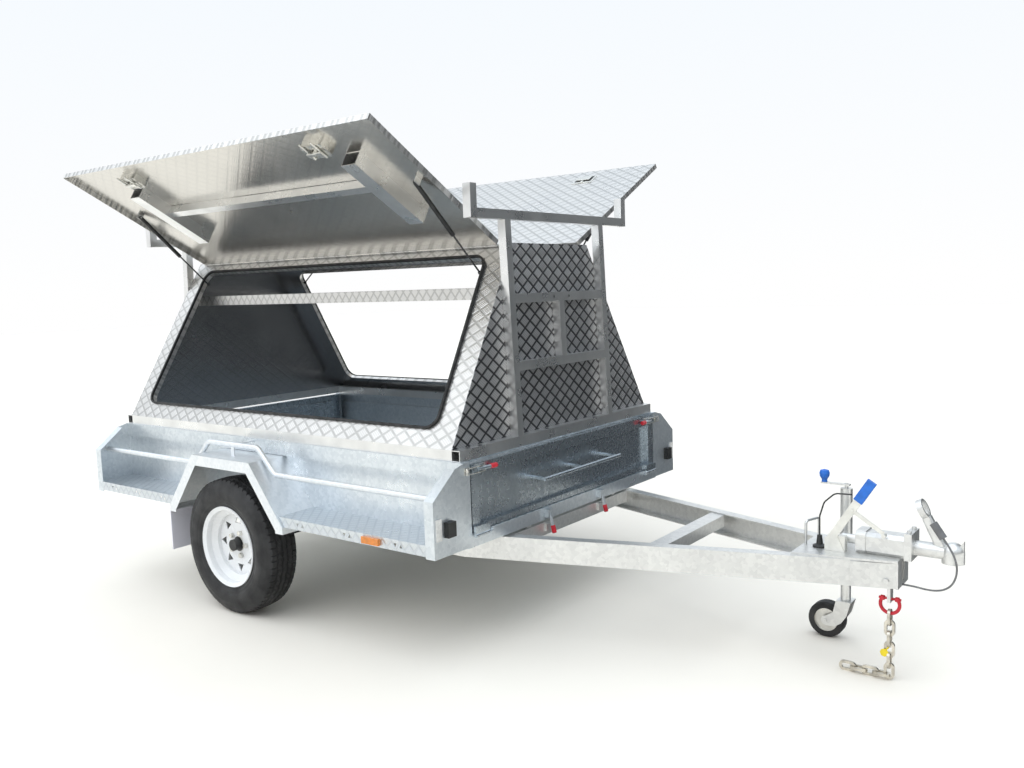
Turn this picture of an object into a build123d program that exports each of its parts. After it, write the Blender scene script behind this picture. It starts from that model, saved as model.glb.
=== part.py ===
from build123d import *
import math
import os

# Canopy trailer: a galvanised tilting tub with a checker-plate aluminium canopy, two lift-up
# side doors on gas struts, drop gates front and rear, a braked A-frame drawbar and a jockey wheel.
# Millimetres. +X is forward (to the coupling), +Y is left, +Z is up, and the ground is Z = 0.

os.makedirs("parts", exist_ok=True)

# Overall lengths, measured from the tub's front face
TUB_LENGTH = 2462
DRAWBAR_LENGTH = 1440
COUPLING_REACH = 215
NOSE_REACH = DRAWBAR_LENGTH + COUPLING_REACH
GATE_RAIL_REACH = 62
AXLE_BACK = 1331
X_FRONT = (TUB_LENGTH + GATE_RAIL_REACH - NOSE_REACH) / 2
X_REAR = X_FRONT - TUB_LENGTH
X_AXLE = X_FRONT - AXLE_BACK

# Clearances
SEAT = 0.3
MOVING_GAP = 6

# Wheels and tyres
TYRE_DIAMETER = 650
TYRE_WIDTH = 188
TYRE_WALL = 12
RIM_SEAT_R = 178
RIM_LIP_R = 194
RIM_HALF_WIDTH = 80
RIM_SHEET = 4
RIM_WELL_R = 150
DISC_FACE = 8
DISC_SHEET = 5
DISC_BORE_R = 36
WHEEL_HOLES = 8
WHEEL_HOLE_R = 113
NUT_COUNT = 5
NUT_CIRCLE_R = 57
NUT_R = 12
NUT_HEIGHT = 16
HUB_R = 62
HUB_DEPTH = 75
CAP_R = 27
CAP_REACH = 52
ROTOR_R = 108
ROTOR_THICK = 10
AXLE_Z = TYRE_DIAMETER / 2
AXLE_SIZE = 45
SPINDLE_R = 19

# Tub
TUB_WIDTH = 1550
TUB_Y = TUB_WIDTH / 2
WHEEL_Y = TUB_Y + 115
SHEET = 2
FLOOR_Z = 525
TUB_TOP_Z = 817
TOP_RAIL_OUT = 15
TOP_RAIL_IN = 30
BEAM_HEIGHT = 55
BEAM_WIDTH = 50
BED_RAIL_Y = TUB_Y - 115
WING_Y = TUB_Y + 200
WING_PLATE = 3
WING_FLANGE = 45
WING_LOW_Z = 472
WING_SHOULDER_Z = 698
WING_CHAMFER_Y = TUB_Y + 68
WING_CHAMFER_Z = 802
POST_Y = TUB_Y - 24
POST_DEPTH = 44
SHELF_LIP = 45
BEAM_TOP_Z = FLOOR_Z - SHEET
BED_LOW_Z = BEAM_TOP_Z - BEAM_HEIGHT

# Guards, mud flaps and tie rails
GUARD_Y = WING_Y + 10
GUARD_TOP_Z = 750
GUARD_LOW_Z = 448
GUARD_TOP_HALF = 220
GUARD_LOW_HALF = 435
GUARD_FLANGE = 50
GUARD_TAIL = 30
TOP_RAIL_DROP = TUB_TOP_Z - GUARD_TOP_Z - SHEET - SEAT
FLAP_LOW_Z = 250
FLAP_THICK = 6
RAIL_R = 13
RAIL_Y = WING_Y - 70
RAIL_LOW_Z = 690
RAIL_HIGH_Z = 805
RAIL_HIGH_HALF = 190
RAIL_LOW_HALF = 306
RAIL_BEND = 45
STAY_SIZE = 25

# Drop gates
GATE_Y = TUB_Y - 30
GATE_DEPTH = 38
GATE_LOW_Z = FLOOR_Z + MOVING_GAP
GATE_TOP_Z = 806
GATE_BORDER = 46
GATE_RECESS = 25
GATE_PIN_Z = 516
GATE_PIN_OUT = 12
GATE_PIN_R = 8
GATE_ROD_R = 9
GATE_STANDOFF_R = 8
GATE_ROD_Z = 670
GATE_ROD_HALF = 300
GATE_LUG = 14
GATE_LUG_R = 11

# Canopy
CANOPY_SETBACK = 26
CANOPY_TAIL = 6
CANOPY_LENGTH = TUB_LENGTH - CANOPY_SETBACK - CANOPY_TAIL
CANOPY_WIDTH = TUB_WIDTH + 6
BASE_TUBE = 45
BASE_DEPTH = 45
BASE_WALL = 3
ROOF_Z = 1692
ROOF_WIDTH = CANOPY_WIDTH - 960
WALL_SETBACK = 40
WALL_LEAN = 32
PANEL = 3
OPENING_END = 120
OPENING_TOP = 67
OPENING_BOTTOM = 870
OPENING_R = 55
LIP = 22
SEAL_WIDTH = 10
SEAL_HEIGHT = 12
INNER_RAIL_Z = 1500
INNER_RAIL_SIZE = 50
VENT_SIZE = (120, 60, 18)

# Side doors, drawn open
DOOR_OPEN_ANGLE = 29.7
DOOR_WIDTH = 893
DOOR_END = 66
DOOR_DEPTH = 25
DOOR_SHEET = 2
HINGE_DROP = 14
HINGE_OUT = 8
HINGE_R = 5
HINGE_KNUCKLES = 9
KNUCKLE_GAP = 2
DOOR_TUBE = (82, 60, 3)
DOOR_TUBE_SPAN = (270, 705)
DOOR_TUBE_FRONT = 338
DOOR_TUBE_REAR = 470
DOOR_ANGLE = 40
DOOR_ANGLE_T = 535
LATCH_T = 775
LATCH_SIZE = (130, 80, 30)

# Gas struts, two to a door
STRUT_DOOR_T = 495
STRUT_DOOR_OUT = 4
STRUT_FRAME_T = 133
STRUT_FRAME_IN = 15
STRUT_INSET = 25
STRUT_R = 10
STRUT_ROD_R = 4
STRUT_TUBE = 300
STRUT_EYE_R = 8

# Racks over the canopy's end walls
RACK_TUBE = 40
RACK_Y = 370
RACK_TOP_Z = 1827
RACK_BAR_HALF = 611
RACK_UPSTAND = 98
RACK_RUNG_Z = (1161, 1452)
RACK_HOLE_R = 6
RACK_HOLE_Y = 60

# Drawbar and tilt pivot
DRAWBAR_GAP = 11
DRAWBAR_HEIGHT = 100
DRAWBAR_FLANGE = 50
DRAWBAR_WALL = 5
DRAWBAR_RAIL_Y = BED_RAIL_Y - 75
DRAWBAR_SPREAD = DRAWBAR_RAIL_Y - 61
DRAWBAR_NOSE_Y = 63
DRAWBAR_END = 20
PIVOT_R = 21
PIVOT_Z = 420
LUG_THICK = 12
LUG_R = 36
CROSS_BEAM_DEPTH = 57
MID_BAR_AHEAD = DRAWBAR_LENGTH - 895
MID_BAR_WIDTH = 70
DRAWBAR_TOP = BED_LOW_Z - DRAWBAR_GAP
DRAWBAR_LOW = DRAWBAR_TOP - DRAWBAR_HEIGHT

# Axle springs
SPRING_WIDTH = 50
SPRING_LEAF = 8
SPRING_LENGTHS = (950, 800, 630, 450, 270)
SPRING_CAMBER = 42
SPRING_EYE_R = 18
SPRING_PIN_R = 8

# Coupling, handbrake and jockey stand
COUPLING_Z = 505
SHAFT_R = 28
BALL_R = 25.4
HEAD_R = 38
HOUSING_BACK = 155
HOUSING_FRONT = 49
HOUSING_WIDTH = 84
HOUSING_HEIGHT = 82
TOP_PLATE = 8
LEVER_Y = -58
JOCKEY_AHEAD = DRAWBAR_LENGTH - 280
JOCKEY_Y = 258
JOCKEY_TUBE_R = 24
JOCKEY_WALL = 3
JOCKEY_TOP_Z = 640
JOCKEY_TUBE_LOW = 364
JOCKEY_LEG_R = 20
LEG_LAP = 74
JOCKEY_TRAIL = 74
JOCKEY_WHEEL_R = 75
JOCKEY_WHEEL_WIDTH = 50
FORK_TOP_Z = 168
CRANK_THROW = 90

# Safety chain and lighting lead
LINK_WIRE = 10
LINK_LENGTH = 65
LINK_WIDTH = 38
LINK_PLAY = 3.7
LINK_PITCH = LINK_LENGTH - 2 * LINK_WIRE - LINK_PLAY
LEAD_R = 3.5
LEAD_ROUTE = [
    # ahead of the drawbar's nose, y, z
    (8, -12, 362),
    (48, -12, 362),
    (95, -18, 358),
    (142, -32, 366),
    (180, -46, 392),
    (200, -56, 434),
    (202, -60, 482),
    (182, -56, 528),
    (154, -50, 566),
]


def give(name, part):
    """Label a finished piece and write its STEP file."""
    part.label = name
    export_step(part, f"parts/{name}.step")


def block(x, y, z, mode=Mode.ADD):
    """A box between two coordinates on each axis, in the part being built."""
    with Locations(((x[0] + x[1]) / 2, (y[0] + y[1]) / 2, (z[0] + z[1]) / 2)):
        Box(abs(x[1] - x[0]), abs(y[1] - y[0]), abs(z[1] - z[0]), mode=mode)


def rod(start, end, radius, mode=Mode.ADD):
    """A round bar from one point to another."""
    axis = Vector(*end) - Vector(*start)
    with BuildSketch(Plane(origin=start, z_dir=axis)) as section:
        Circle(radius)
    extrude(section.sketch, amount=axis.length, dir=axis, mode=mode)


def plate(points, plane, thickness, mode=Mode.ADD):
    """A flat sheet with straight edges, standing on the plane."""
    with BuildSketch(plane) as outline:
        Polygon(*points, align=None)
    extrude(outline.sketch, amount=thickness, dir=plane.z_dir, mode=mode)


def folded(points, plane, thickness, length, mode=Mode.ADD):
    """A sheet folded along an open line, thickened to the line's left side."""
    with BuildSketch(plane) as profile:
        with BuildLine():
            Polyline(*points)
            offset(amount=thickness, side=Side.LEFT, kind=Kind.INTERSECTION)
        make_face()
    extrude(profile.sketch, amount=length, dir=plane.z_dir, mode=mode)


def hollow_bar(start, end, width, height, wall, up=(0, 0, 1), mode=Mode.ADD):
    """A rectangular tube with open ends; height lies along up."""
    axis = Vector(*end) - Vector(*start)
    across = Vector(*up).cross(axis)
    with BuildSketch(Plane(origin=start, x_dir=across, z_dir=axis)) as section:
        Rectangle(width, height)
        Rectangle(width - 2 * wall, height - 2 * wall, mode=Mode.SUBTRACT)
    extrude(section.sketch, amount=axis.length, dir=axis, mode=mode)


def give_pair(name, right):
    """Write a right-hand piece and its mirror image on the left."""
    give(f"{name}_right", right)
    with BuildPart() as left:
        mirror(right, about=Plane.XZ)
    give(f"{name}_left", left.part)


def ground_plane(x=0.0, y=0.0, z=0.0):
    """A plane that faces +X at a station, with local x to the left and local y up."""
    return Plane(origin=(x, y, z), x_dir=(0, 1, 0), z_dir=(1, 0, 0))


def side_plane(y):
    """A plane that faces -Y, with local x forward and local y up."""
    return Plane(origin=(0, y, 0), x_dir=(1, 0, 0), z_dir=(0, -1, 0))


# Tub floor, side walls and corner wings
with BuildPart() as tub_floor:
    block((X_REAR, X_FRONT), (SHEET - TUB_Y, TUB_Y - SHEET), (BEAM_TOP_Z, FLOOR_Z))
give("tub_floor", tub_floor.part)

with BuildPart() as tub_sides:
    wall_profile = [
        # left, up
        (-TUB_Y, BEAM_TOP_Z),
        (-TUB_Y, TUB_TOP_Z - TOP_RAIL_DROP),
        (-TUB_Y - TOP_RAIL_OUT, TUB_TOP_Z - TOP_RAIL_DROP),
        (-TUB_Y - TOP_RAIL_OUT, TUB_TOP_Z),
        (-TUB_Y + TOP_RAIL_IN - SHEET, TUB_TOP_Z),
        (-TUB_Y + TOP_RAIL_IN - SHEET, TUB_TOP_Z - TOP_RAIL_OUT),
    ]
    wall_plane = ground_plane(X_REAR + WING_PLATE)
    wall_length = TUB_LENGTH - 2 * WING_PLATE
    with BuildSketch(wall_plane) as wall_face:
        with BuildLine():
            Polyline(*wall_profile)
            offset(amount=SHEET, side=Side.RIGHT, kind=Kind.INTERSECTION)
        make_face()
    extrude(wall_face.sketch, amount=wall_length, dir=(1, 0, 0))
    mirror(about=Plane.XZ)
give("tub_sides", tub_sides.part)

with BuildPart() as wing_plates:
    wing_outline = [
        # left, up
        (-POST_Y, FLOOR_Z),
        (-TUB_Y, FLOOR_Z),
        (-TUB_Y, WING_LOW_Z),
        (-WING_Y, WING_LOW_Z),
        (-WING_Y, WING_SHOULDER_Z),
        (-WING_CHAMFER_Y, WING_CHAMFER_Z),
        (-TUB_Y - TOP_RAIL_OUT, TUB_TOP_Z - SHEET),
        (-POST_Y, TUB_TOP_Z - SHEET),
    ]
    wing_ends = [
        # station of the plate's inner face, direction of its flanges
        (X_FRONT - WING_PLATE, -1),
        (X_REAR + WING_PLATE, 1),
    ]
    for station, inward in wing_ends:
        face = Plane(origin=(station, 0, 0), x_dir=(0, 1, 0), z_dir=(1, 0, 0))
        plate(wing_outline, face, -inward * WING_PLATE)
        flange = sorted((station, station + inward * WING_FLANGE))
        block(flange, (-WING_Y, WING_PLATE - WING_Y), (WING_LOW_Z, WING_SHOULDER_Z))
        plate(
            [
                (-WING_Y, WING_SHOULDER_Z),
                (-WING_CHAMFER_Y, WING_CHAMFER_Z),
                (-WING_CHAMFER_Y, WING_CHAMFER_Z - WING_PLATE),
                (WING_PLATE - WING_Y, WING_SHOULDER_Z - WING_PLATE),
                (-WING_Y, WING_SHOULDER_Z - WING_PLATE),
            ],
            face,
            inward * WING_FLANGE,
        )
        post = sorted((station, station + inward * POST_DEPTH))
        block(post, (-POST_Y - SHEET, -POST_Y), (FLOOR_Z, TUB_TOP_Z - TOP_RAIL_OUT - SEAT))
    mirror(about=Plane.XZ)
give("wing_plates", wing_plates.part)


# Guards, shelves, mud flaps and tie rails
def guard_slope_x(z):
    """Half length of the guard's outline at a height on its sloping faces."""
    share = (z - GUARD_LOW_Z - GUARD_TAIL) / (GUARD_TOP_Z - GUARD_LOW_Z - GUARD_TAIL)
    return GUARD_LOW_HALF + (GUARD_TOP_HALF - GUARD_LOW_HALF) * share


GUARD_LINE = [
    # ahead of the axle, up
    (GUARD_LOW_HALF, GUARD_LOW_Z),
    (GUARD_LOW_HALF, GUARD_LOW_Z + GUARD_TAIL),
    (GUARD_TOP_HALF, GUARD_TOP_Z),
    (-GUARD_TOP_HALF, GUARD_TOP_Z),
    (-GUARD_LOW_HALF, GUARD_LOW_Z + GUARD_TAIL),
    (-GUARD_LOW_HALF, GUARD_LOW_Z),
]
with BuildPart() as guard:
    guard_points = [(X_AXLE + ahead, up) for ahead, up in GUARD_LINE]
    folded(guard_points, side_plane(-TUB_Y), SHEET, GUARD_Y - TUB_Y)
    folded(guard_points, side_plane(SHEET - GUARD_Y), GUARD_FLANGE, SHEET)
give_pair("guard", guard.part)

SHELF_CLEAR = guard_slope_x(FLOOR_Z)
SHELF_RUNS = [
    # rear end, front end
    (X_AXLE + SHELF_CLEAR, X_FRONT - WING_PLATE),
    (X_REAR + WING_PLATE, X_AXLE - SHELF_CLEAR),
]
LIP_HOLE = 16
LIP_HOLE_PAIRS = 3
with BuildPart() as shelves:
    for rear, front in SHELF_RUNS:
        length = front - rear
        block((rear, front), (WING_PLATE - WING_Y, -TUB_Y), (FLOOR_Z - SHEET, FLOOR_Z))
        lip_y = (WING_PLATE - WING_Y, WING_PLATE + SHEET - WING_Y)
        lip_inset = WING_FLANGE + SEAT
        lip_rear = rear + (lip_inset if rear < X_AXLE else 0)
        lip_front = front - (lip_inset if front > X_AXLE else 0)
        block((lip_rear, lip_front), (-WING_Y, SHEET - WING_Y), (FLOOR_Z - SHELF_LIP, FLOOR_Z))
        block((lip_rear, lip_front), (-WING_Y, lip_y[1]), (FLOOR_Z - SHEET, FLOOR_Z))
        pitch = (lip_front - lip_rear) / LIP_HOLE_PAIRS
        for pair in range(LIP_HOLE_PAIRS):
            hole_x = lip_rear + pitch * (pair + 0.5)
            hole_z = FLOOR_Z - SHELF_LIP / 2
            for shift, turn in [(-LIP_HOLE, -1), (LIP_HOLE, 1)]:
                plate(
                    [
                        (hole_x + shift - LIP_HOLE / 2, hole_z - turn * LIP_HOLE / 2),
                        (hole_x + shift + LIP_HOLE / 2, hole_z - turn * LIP_HOLE / 2),
                        (hole_x + shift, hole_z + turn * LIP_HOLE / 2),
                    ],
                    side_plane(WING_PLATE - WING_Y),
                    2 * WING_PLATE,
                    mode=Mode.SUBTRACT,
                )
    with BuildSketch(side_plane(-TUB_Y)) as guard_space:
        Polygon(*guard_points, align=None)
        offset(amount=SHEET + SEAT, kind=Kind.INTERSECTION)
    extrude(guard_space.sketch, amount=GUARD_Y - TUB_Y, dir=(0, -1, 0), mode=Mode.SUBTRACT)
    mirror(about=Plane.XZ)
give("shelves", shelves.part)

with BuildPart() as mudflaps:
    flap_x = X_AXLE - GUARD_LOW_HALF
    block(
        (flap_x - FLAP_THICK, flap_x),
        (SHEET - GUARD_Y, -TUB_Y - TOP_RAIL_OUT),
        (FLAP_LOW_Z, GUARD_LOW_Z + GUARD_TAIL / 2),
    )
    mirror(about=Plane.XZ)
give("mudflaps", mudflaps.part)

with BuildPart() as tie_rails:
    with BuildLine() as rail_path:
        FilletPolyline(
            (X_REAR + WING_PLATE, -RAIL_Y, RAIL_LOW_Z),
            (X_AXLE - RAIL_LOW_HALF, -RAIL_Y, RAIL_LOW_Z),
            (X_AXLE - RAIL_HIGH_HALF, -RAIL_Y, RAIL_HIGH_Z),
            (X_AXLE + RAIL_HIGH_HALF, -RAIL_Y, RAIL_HIGH_Z),
            (X_AXLE + RAIL_LOW_HALF, -RAIL_Y, RAIL_LOW_Z),
            (X_FRONT - WING_PLATE, -RAIL_Y, RAIL_LOW_Z),
            radius=RAIL_BEND,
        )
    with BuildSketch(ground_plane(X_REAR + WING_PLATE, -RAIL_Y, RAIL_LOW_Z)) as rail_section:
        Circle(RAIL_R)
    sweep(rail_section.sketch, path=rail_path.line)
    stay_x = (X_AXLE - STAY_SIZE / 2, X_AXLE + STAY_SIZE / 2)
    block(stay_x, (-RAIL_Y - SHEET, SHEET - RAIL_Y), (GUARD_TOP_Z, RAIL_HIGH_Z))
    block(stay_x, (-RAIL_Y, -TUB_Y - TOP_RAIL_OUT), (RAIL_HIGH_Z - SHEET, RAIL_HIGH_Z + SHEET))
    mirror(about=Plane.XZ)
give("tie_rails", tie_rails.part)

# Frame under the tub floor, with the lugs that turn on the tilt pivot
CROSS_BEAMS_AHEAD = (930, 465, 0, -465)
with BuildPart() as bed_frame:
    rail_ends = (X_REAR + BEAM_WIDTH + SEAT, X_FRONT - BEAM_WIDTH - SEAT)
    rail_half = BEAM_WIDTH / 2
    for side in (-1, 1):
        rail_y = (side * BED_RAIL_Y - rail_half, side * BED_RAIL_Y + rail_half)
        block(rail_ends, rail_y, (BED_LOW_Z, BEAM_TOP_Z))
    for end in (X_FRONT - BEAM_WIDTH, X_REAR):
        block((end, end + BEAM_WIDTH), (-TUB_Y, TUB_Y), (BED_LOW_Z, BEAM_TOP_Z))
    beam_y = BED_RAIL_Y - rail_half - SEAT
    for ahead in CROSS_BEAMS_AHEAD:
        beam_x = (X_AXLE + ahead - rail_half, X_AXLE + ahead + rail_half)
        block(beam_x, (-beam_y, beam_y), (BED_LOW_Z, BEAM_TOP_Z))
give("bed_frame", bed_frame.part)

with BuildPart() as pivot_lugs:
    lug_y = -DRAWBAR_RAIL_Y - MOVING_GAP
    with BuildSketch(side_plane(lug_y)) as lug_face:
        with Locations((X_AXLE, PIVOT_Z)):
            Circle(LUG_R)
        with Locations((X_AXLE, (PIVOT_Z + BED_LOW_Z) / 2)):
            Rectangle(2 * LUG_R, BED_LOW_Z - PIVOT_Z)
        with Locations((X_AXLE, PIVOT_Z)):
            Circle(PIVOT_R + SEAT, mode=Mode.SUBTRACT)
    extrude(lug_face.sketch, amount=LUG_THICK, dir=(0, -1, 0))
    mirror(about=Plane.XZ)
give("pivot_lugs", pivot_lugs.part)

# Axle, leaf springs, hangers and brake calipers
AXLE_TOP = AXLE_Z + AXLE_SIZE / 2
HUB_INNER_Y = WHEEL_Y - HUB_DEPTH
SPINDLE_END_Y = WHEEL_Y - DISC_FACE
with BuildPart() as axle:
    beam_end = HUB_INNER_Y - MOVING_GAP
    block(
        (X_AXLE - AXLE_SIZE / 2, X_AXLE + AXLE_SIZE / 2),
        (-beam_end, beam_end),
        (AXLE_Z - AXLE_SIZE / 2, AXLE_TOP),
    )
    rod((X_AXLE, -SPINDLE_END_Y, AXLE_Z), (X_AXLE, SPINDLE_END_Y, AXLE_Z), SPINDLE_R)
give("axle", axle.part)

SPRING_CHORD = SPRING_LENGTHS[0]
SPRING_RADIUS = SPRING_CHORD**2 / (8 * SPRING_CAMBER) + SPRING_CAMBER / 2
SPRING_PACK = SPRING_LEAF * len(SPRING_LENGTHS)
SPRING_CENTRE_Z = AXLE_TOP + SPRING_PACK + SPRING_RADIUS
EYE_SWEEP = math.asin(SPRING_CHORD / 2 / SPRING_RADIUS)
EYE_X = X_AXLE + SPRING_CHORD / 2
EYE_Z = SPRING_CENTRE_Z - SPRING_RADIUS * math.cos(EYE_SWEEP) + SPRING_LEAF / 2
with BuildPart() as springs:
    spring_plane = side_plane(SPRING_WIDTH / 2 - BED_RAIL_Y)
    for leaf, leaf_length in enumerate(SPRING_LENGTHS):
        inner_r = SPRING_RADIUS + leaf * SPRING_LEAF
        half_sweep = math.degrees(leaf_length / 2 / inner_r)
        with BuildSketch(spring_plane) as leaf_face:
            with BuildLine():
                upper = CenterArc((X_AXLE, SPRING_CENTRE_Z), inner_r, 270 - half_sweep, 2 * half_sweep)
                lower = CenterArc(
                    (X_AXLE, SPRING_CENTRE_Z), inner_r + SPRING_LEAF, 270 - half_sweep, 2 * half_sweep
                )
                Line(upper @ 0, lower @ 0)
                Line(upper @ 1, lower @ 1)
            make_face()
        extrude(leaf_face.sketch, amount=SPRING_WIDTH, dir=(0, -1, 0))
    eye_y = (SPRING_WIDTH / 2 - BED_RAIL_Y, -SPRING_WIDTH / 2 - BED_RAIL_Y)
    rod((EYE_X, eye_y[0], EYE_Z), (EYE_X, eye_y[1], EYE_Z), SPRING_EYE_R)
    rod((EYE_X, eye_y[0], EYE_Z), (EYE_X, eye_y[1], EYE_Z), SPRING_PIN_R + SEAT, mode=Mode.SUBTRACT)
    mirror(about=Plane.XZ)
give("springs", springs.part)

HANGER_HALF = 32
HANGER_CHEEK = 6
HANGER_STATIONS = [
    # station, with a pin through the eye
    (EYE_X, True),
    (X_AXLE - SPRING_CHORD / 2 + HANGER_HALF, False),
]
with BuildPart() as spring_hangers:
    hanger_in = SPRING_WIDTH / 2 + SEAT
    hanger_low = EYE_Z - SPRING_EYE_R
    slot_top = EYE_Z + SPRING_EYE_R + SEAT
    for station, pinned in HANGER_STATIONS:
        hanger_x = (station - HANGER_HALF, station + HANGER_HALF)
        hanger_y = (-BED_RAIL_Y - hanger_in - HANGER_CHEEK, hanger_in + HANGER_CHEEK - BED_RAIL_Y)
        block(hanger_x, hanger_y, (hanger_low, BED_LOW_Z))
        slot_y = (-BED_RAIL_Y - hanger_in, hanger_in - BED_RAIL_Y)
        block(hanger_x, slot_y, (hanger_low, slot_top), mode=Mode.SUBTRACT)
        if pinned:
            rod((station, hanger_y[0], EYE_Z), (station, hanger_y[1], EYE_Z), SPRING_PIN_R)
    mirror(about=Plane.XZ)
give("spring_hangers", spring_hangers.part)

# Wheels: tyre, pressed steel rim and hub with its brake rotor
ROTOR_Y = WHEEL_Y - HUB_DEPTH + ROTOR_THICK / 2
CALIPER_GAP = 5
CALIPER_LENGTH = 90
CALIPER_CHEEK = 16
CALIPER_REACH = 41
with BuildPart() as brake_calipers:
    caliper_low = AXLE_Z + ROTOR_R - CALIPER_REACH
    caliper_top = AXLE_Z + ROTOR_R + CALIPER_GAP + CALIPER_CHEEK / 2
    inner_face = ROTOR_Y - ROTOR_THICK / 2 - CALIPER_GAP
    outer_face = ROTOR_Y + ROTOR_THICK / 2 + CALIPER_GAP
    caliper_x = (X_AXLE - CALIPER_LENGTH / 2, X_AXLE + CALIPER_LENGTH / 2)
    block(caliper_x, (-outer_face - CALIPER_CHEEK, CALIPER_CHEEK - inner_face), (caliper_low, caliper_top))
    block(
        caliper_x,
        (-outer_face, -inner_face),
        (caliper_low, AXLE_Z + ROTOR_R + CALIPER_GAP),
        mode=Mode.SUBTRACT,
    )
    block(
        (X_AXLE - AXLE_SIZE, X_AXLE + AXLE_SIZE),
        (-inner_face, CALIPER_CHEEK - inner_face),
        (AXLE_TOP + SEAT, caliper_low),
    )
    mirror(about=Plane.XZ)
give("brake_calipers", brake_calipers.part)

WHEEL_PLANE = Plane(origin=(X_AXLE, -WHEEL_Y, AXLE_Z), x_dir=(1, 0, 0), z_dir=(0, 0, 1))
WHEEL_AXIS = Axis((X_AXLE, -WHEEL_Y, AXLE_Z), (0, 1, 0))
TREAD_HALF = 68
SHOULDER_DROP = 5
BEAD_HALF = 66
SEAT_END = 72
BEAD_R = RIM_SEAT_R + SEAT
with BuildPart() as tyre:
    with BuildSketch(WHEEL_PLANE) as tyre_face:
        crown_r = TYRE_DIAMETER / 2
        shoulder_r = crown_r - SHOULDER_DROP
        wall_r = (BEAD_R + shoulder_r) / 2
        cavity_r = BEAD_R + TYRE_WALL
        with BuildLine():
            crown = ThreePointArc((shoulder_r, -TREAD_HALF), (crown_r, 0), (shoulder_r, TREAD_HALF))
            outer = ThreePointArc(crown @ 1, (wall_r, TYRE_WIDTH / 2), (BEAD_R, BEAD_HALF))
            inner = ThreePointArc(crown @ 0, (wall_r, -TYRE_WIDTH / 2), (BEAD_R, -BEAD_HALF))
            Line(outer @ 1, inner @ 1)
        make_face()
        with Locations(((cavity_r + crown_r - 2 * TYRE_WALL) / 2, 0)):
            RectangleRounded(
                crown_r - 2 * TYRE_WALL - cavity_r,
                TYRE_WIDTH - 4 * TYRE_WALL,
                2 * TYRE_WALL,
                mode=Mode.SUBTRACT,
            )
    revolve(tyre_face.sketch, axis=WHEEL_AXIS)
give_pair("tyre", tyre.part)

WELL_HALF = 28
SEAT_HALF = 46
RIM_LINE = [
    # radius, outward from the wheel's middle
    (RIM_LIP_R, RIM_HALF_WIDTH),
    (RIM_SEAT_R, SEAT_END),
    (RIM_SEAT_R, SEAT_HALF),
    (RIM_WELL_R, WELL_HALF),
    (RIM_WELL_R, -WELL_HALF),
    (RIM_SEAT_R, -SEAT_HALF),
    (RIM_SEAT_R, -SEAT_END),
    (RIM_LIP_R, -RIM_HALF_WIDTH),
]
TRIANGLE_R = 26
with BuildPart() as rim:
    with BuildSketch(WHEEL_PLANE) as barrel_face:
        with BuildLine():
            Polyline(*[(radius, -outward) for radius, outward in RIM_LINE])
            offset(amount=RIM_SHEET, side=Side.LEFT, kind=Kind.INTERSECTION)
        make_face()
    revolve(barrel_face.sketch, axis=WHEEL_AXIS)
    disc_plane = Plane(origin=(X_AXLE, -WHEEL_Y - DISC_FACE, AXLE_Z), x_dir=(1, 0, 0), z_dir=(0, -1, 0))
    with BuildSketch(disc_plane) as disc_face:
        Circle(RIM_WELL_R - RIM_SHEET / 2)
        Circle(DISC_BORE_R, mode=Mode.SUBTRACT)
        with PolarLocations(WHEEL_HOLE_R, WHEEL_HOLES):
            RegularPolygon(TRIANGLE_R, 3, mode=Mode.SUBTRACT)
    extrude(disc_face.sketch, amount=DISC_SHEET, dir=(0, -1, 0))
give_pair("rim", rim.part)

with BuildPart() as hub:
    hub_line = [
        # radius, outward
        (SPINDLE_R + SEAT, -HUB_DEPTH),
        (ROTOR_R, -HUB_DEPTH),
        (ROTOR_R, ROTOR_THICK - HUB_DEPTH),
        (HUB_R, ROTOR_THICK - HUB_DEPTH),
        (HUB_R, DISC_FACE - SEAT),
        (DISC_BORE_R - SEAT, DISC_FACE - SEAT),
        (DISC_BORE_R - SEAT, DISC_FACE + 2 * DISC_SHEET),
        (CAP_R, DISC_FACE + 2 * DISC_SHEET),
        (CAP_R, CAP_REACH),
        (0, CAP_REACH),
        (0, DISC_FACE + SEAT),
        (SPINDLE_R + SEAT, DISC_FACE + SEAT),
    ]
    with BuildSketch(WHEEL_PLANE) as hub_face:
        Polygon(*[(radius, -outward) for radius, outward in hub_line], align=None)
    revolve(hub_face.sketch, axis=WHEEL_AXIS)
    nut_plane = disc_plane.offset(DISC_SHEET)
    with BuildSketch(nut_plane) as nut_face:
        with PolarLocations(NUT_CIRCLE_R, NUT_COUNT):
            RegularPolygon(NUT_R, 6)
    extrude(nut_face.sketch, amount=NUT_HEIGHT, dir=(0, -1, 0))
give_pair("hub", hub.part)

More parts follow.
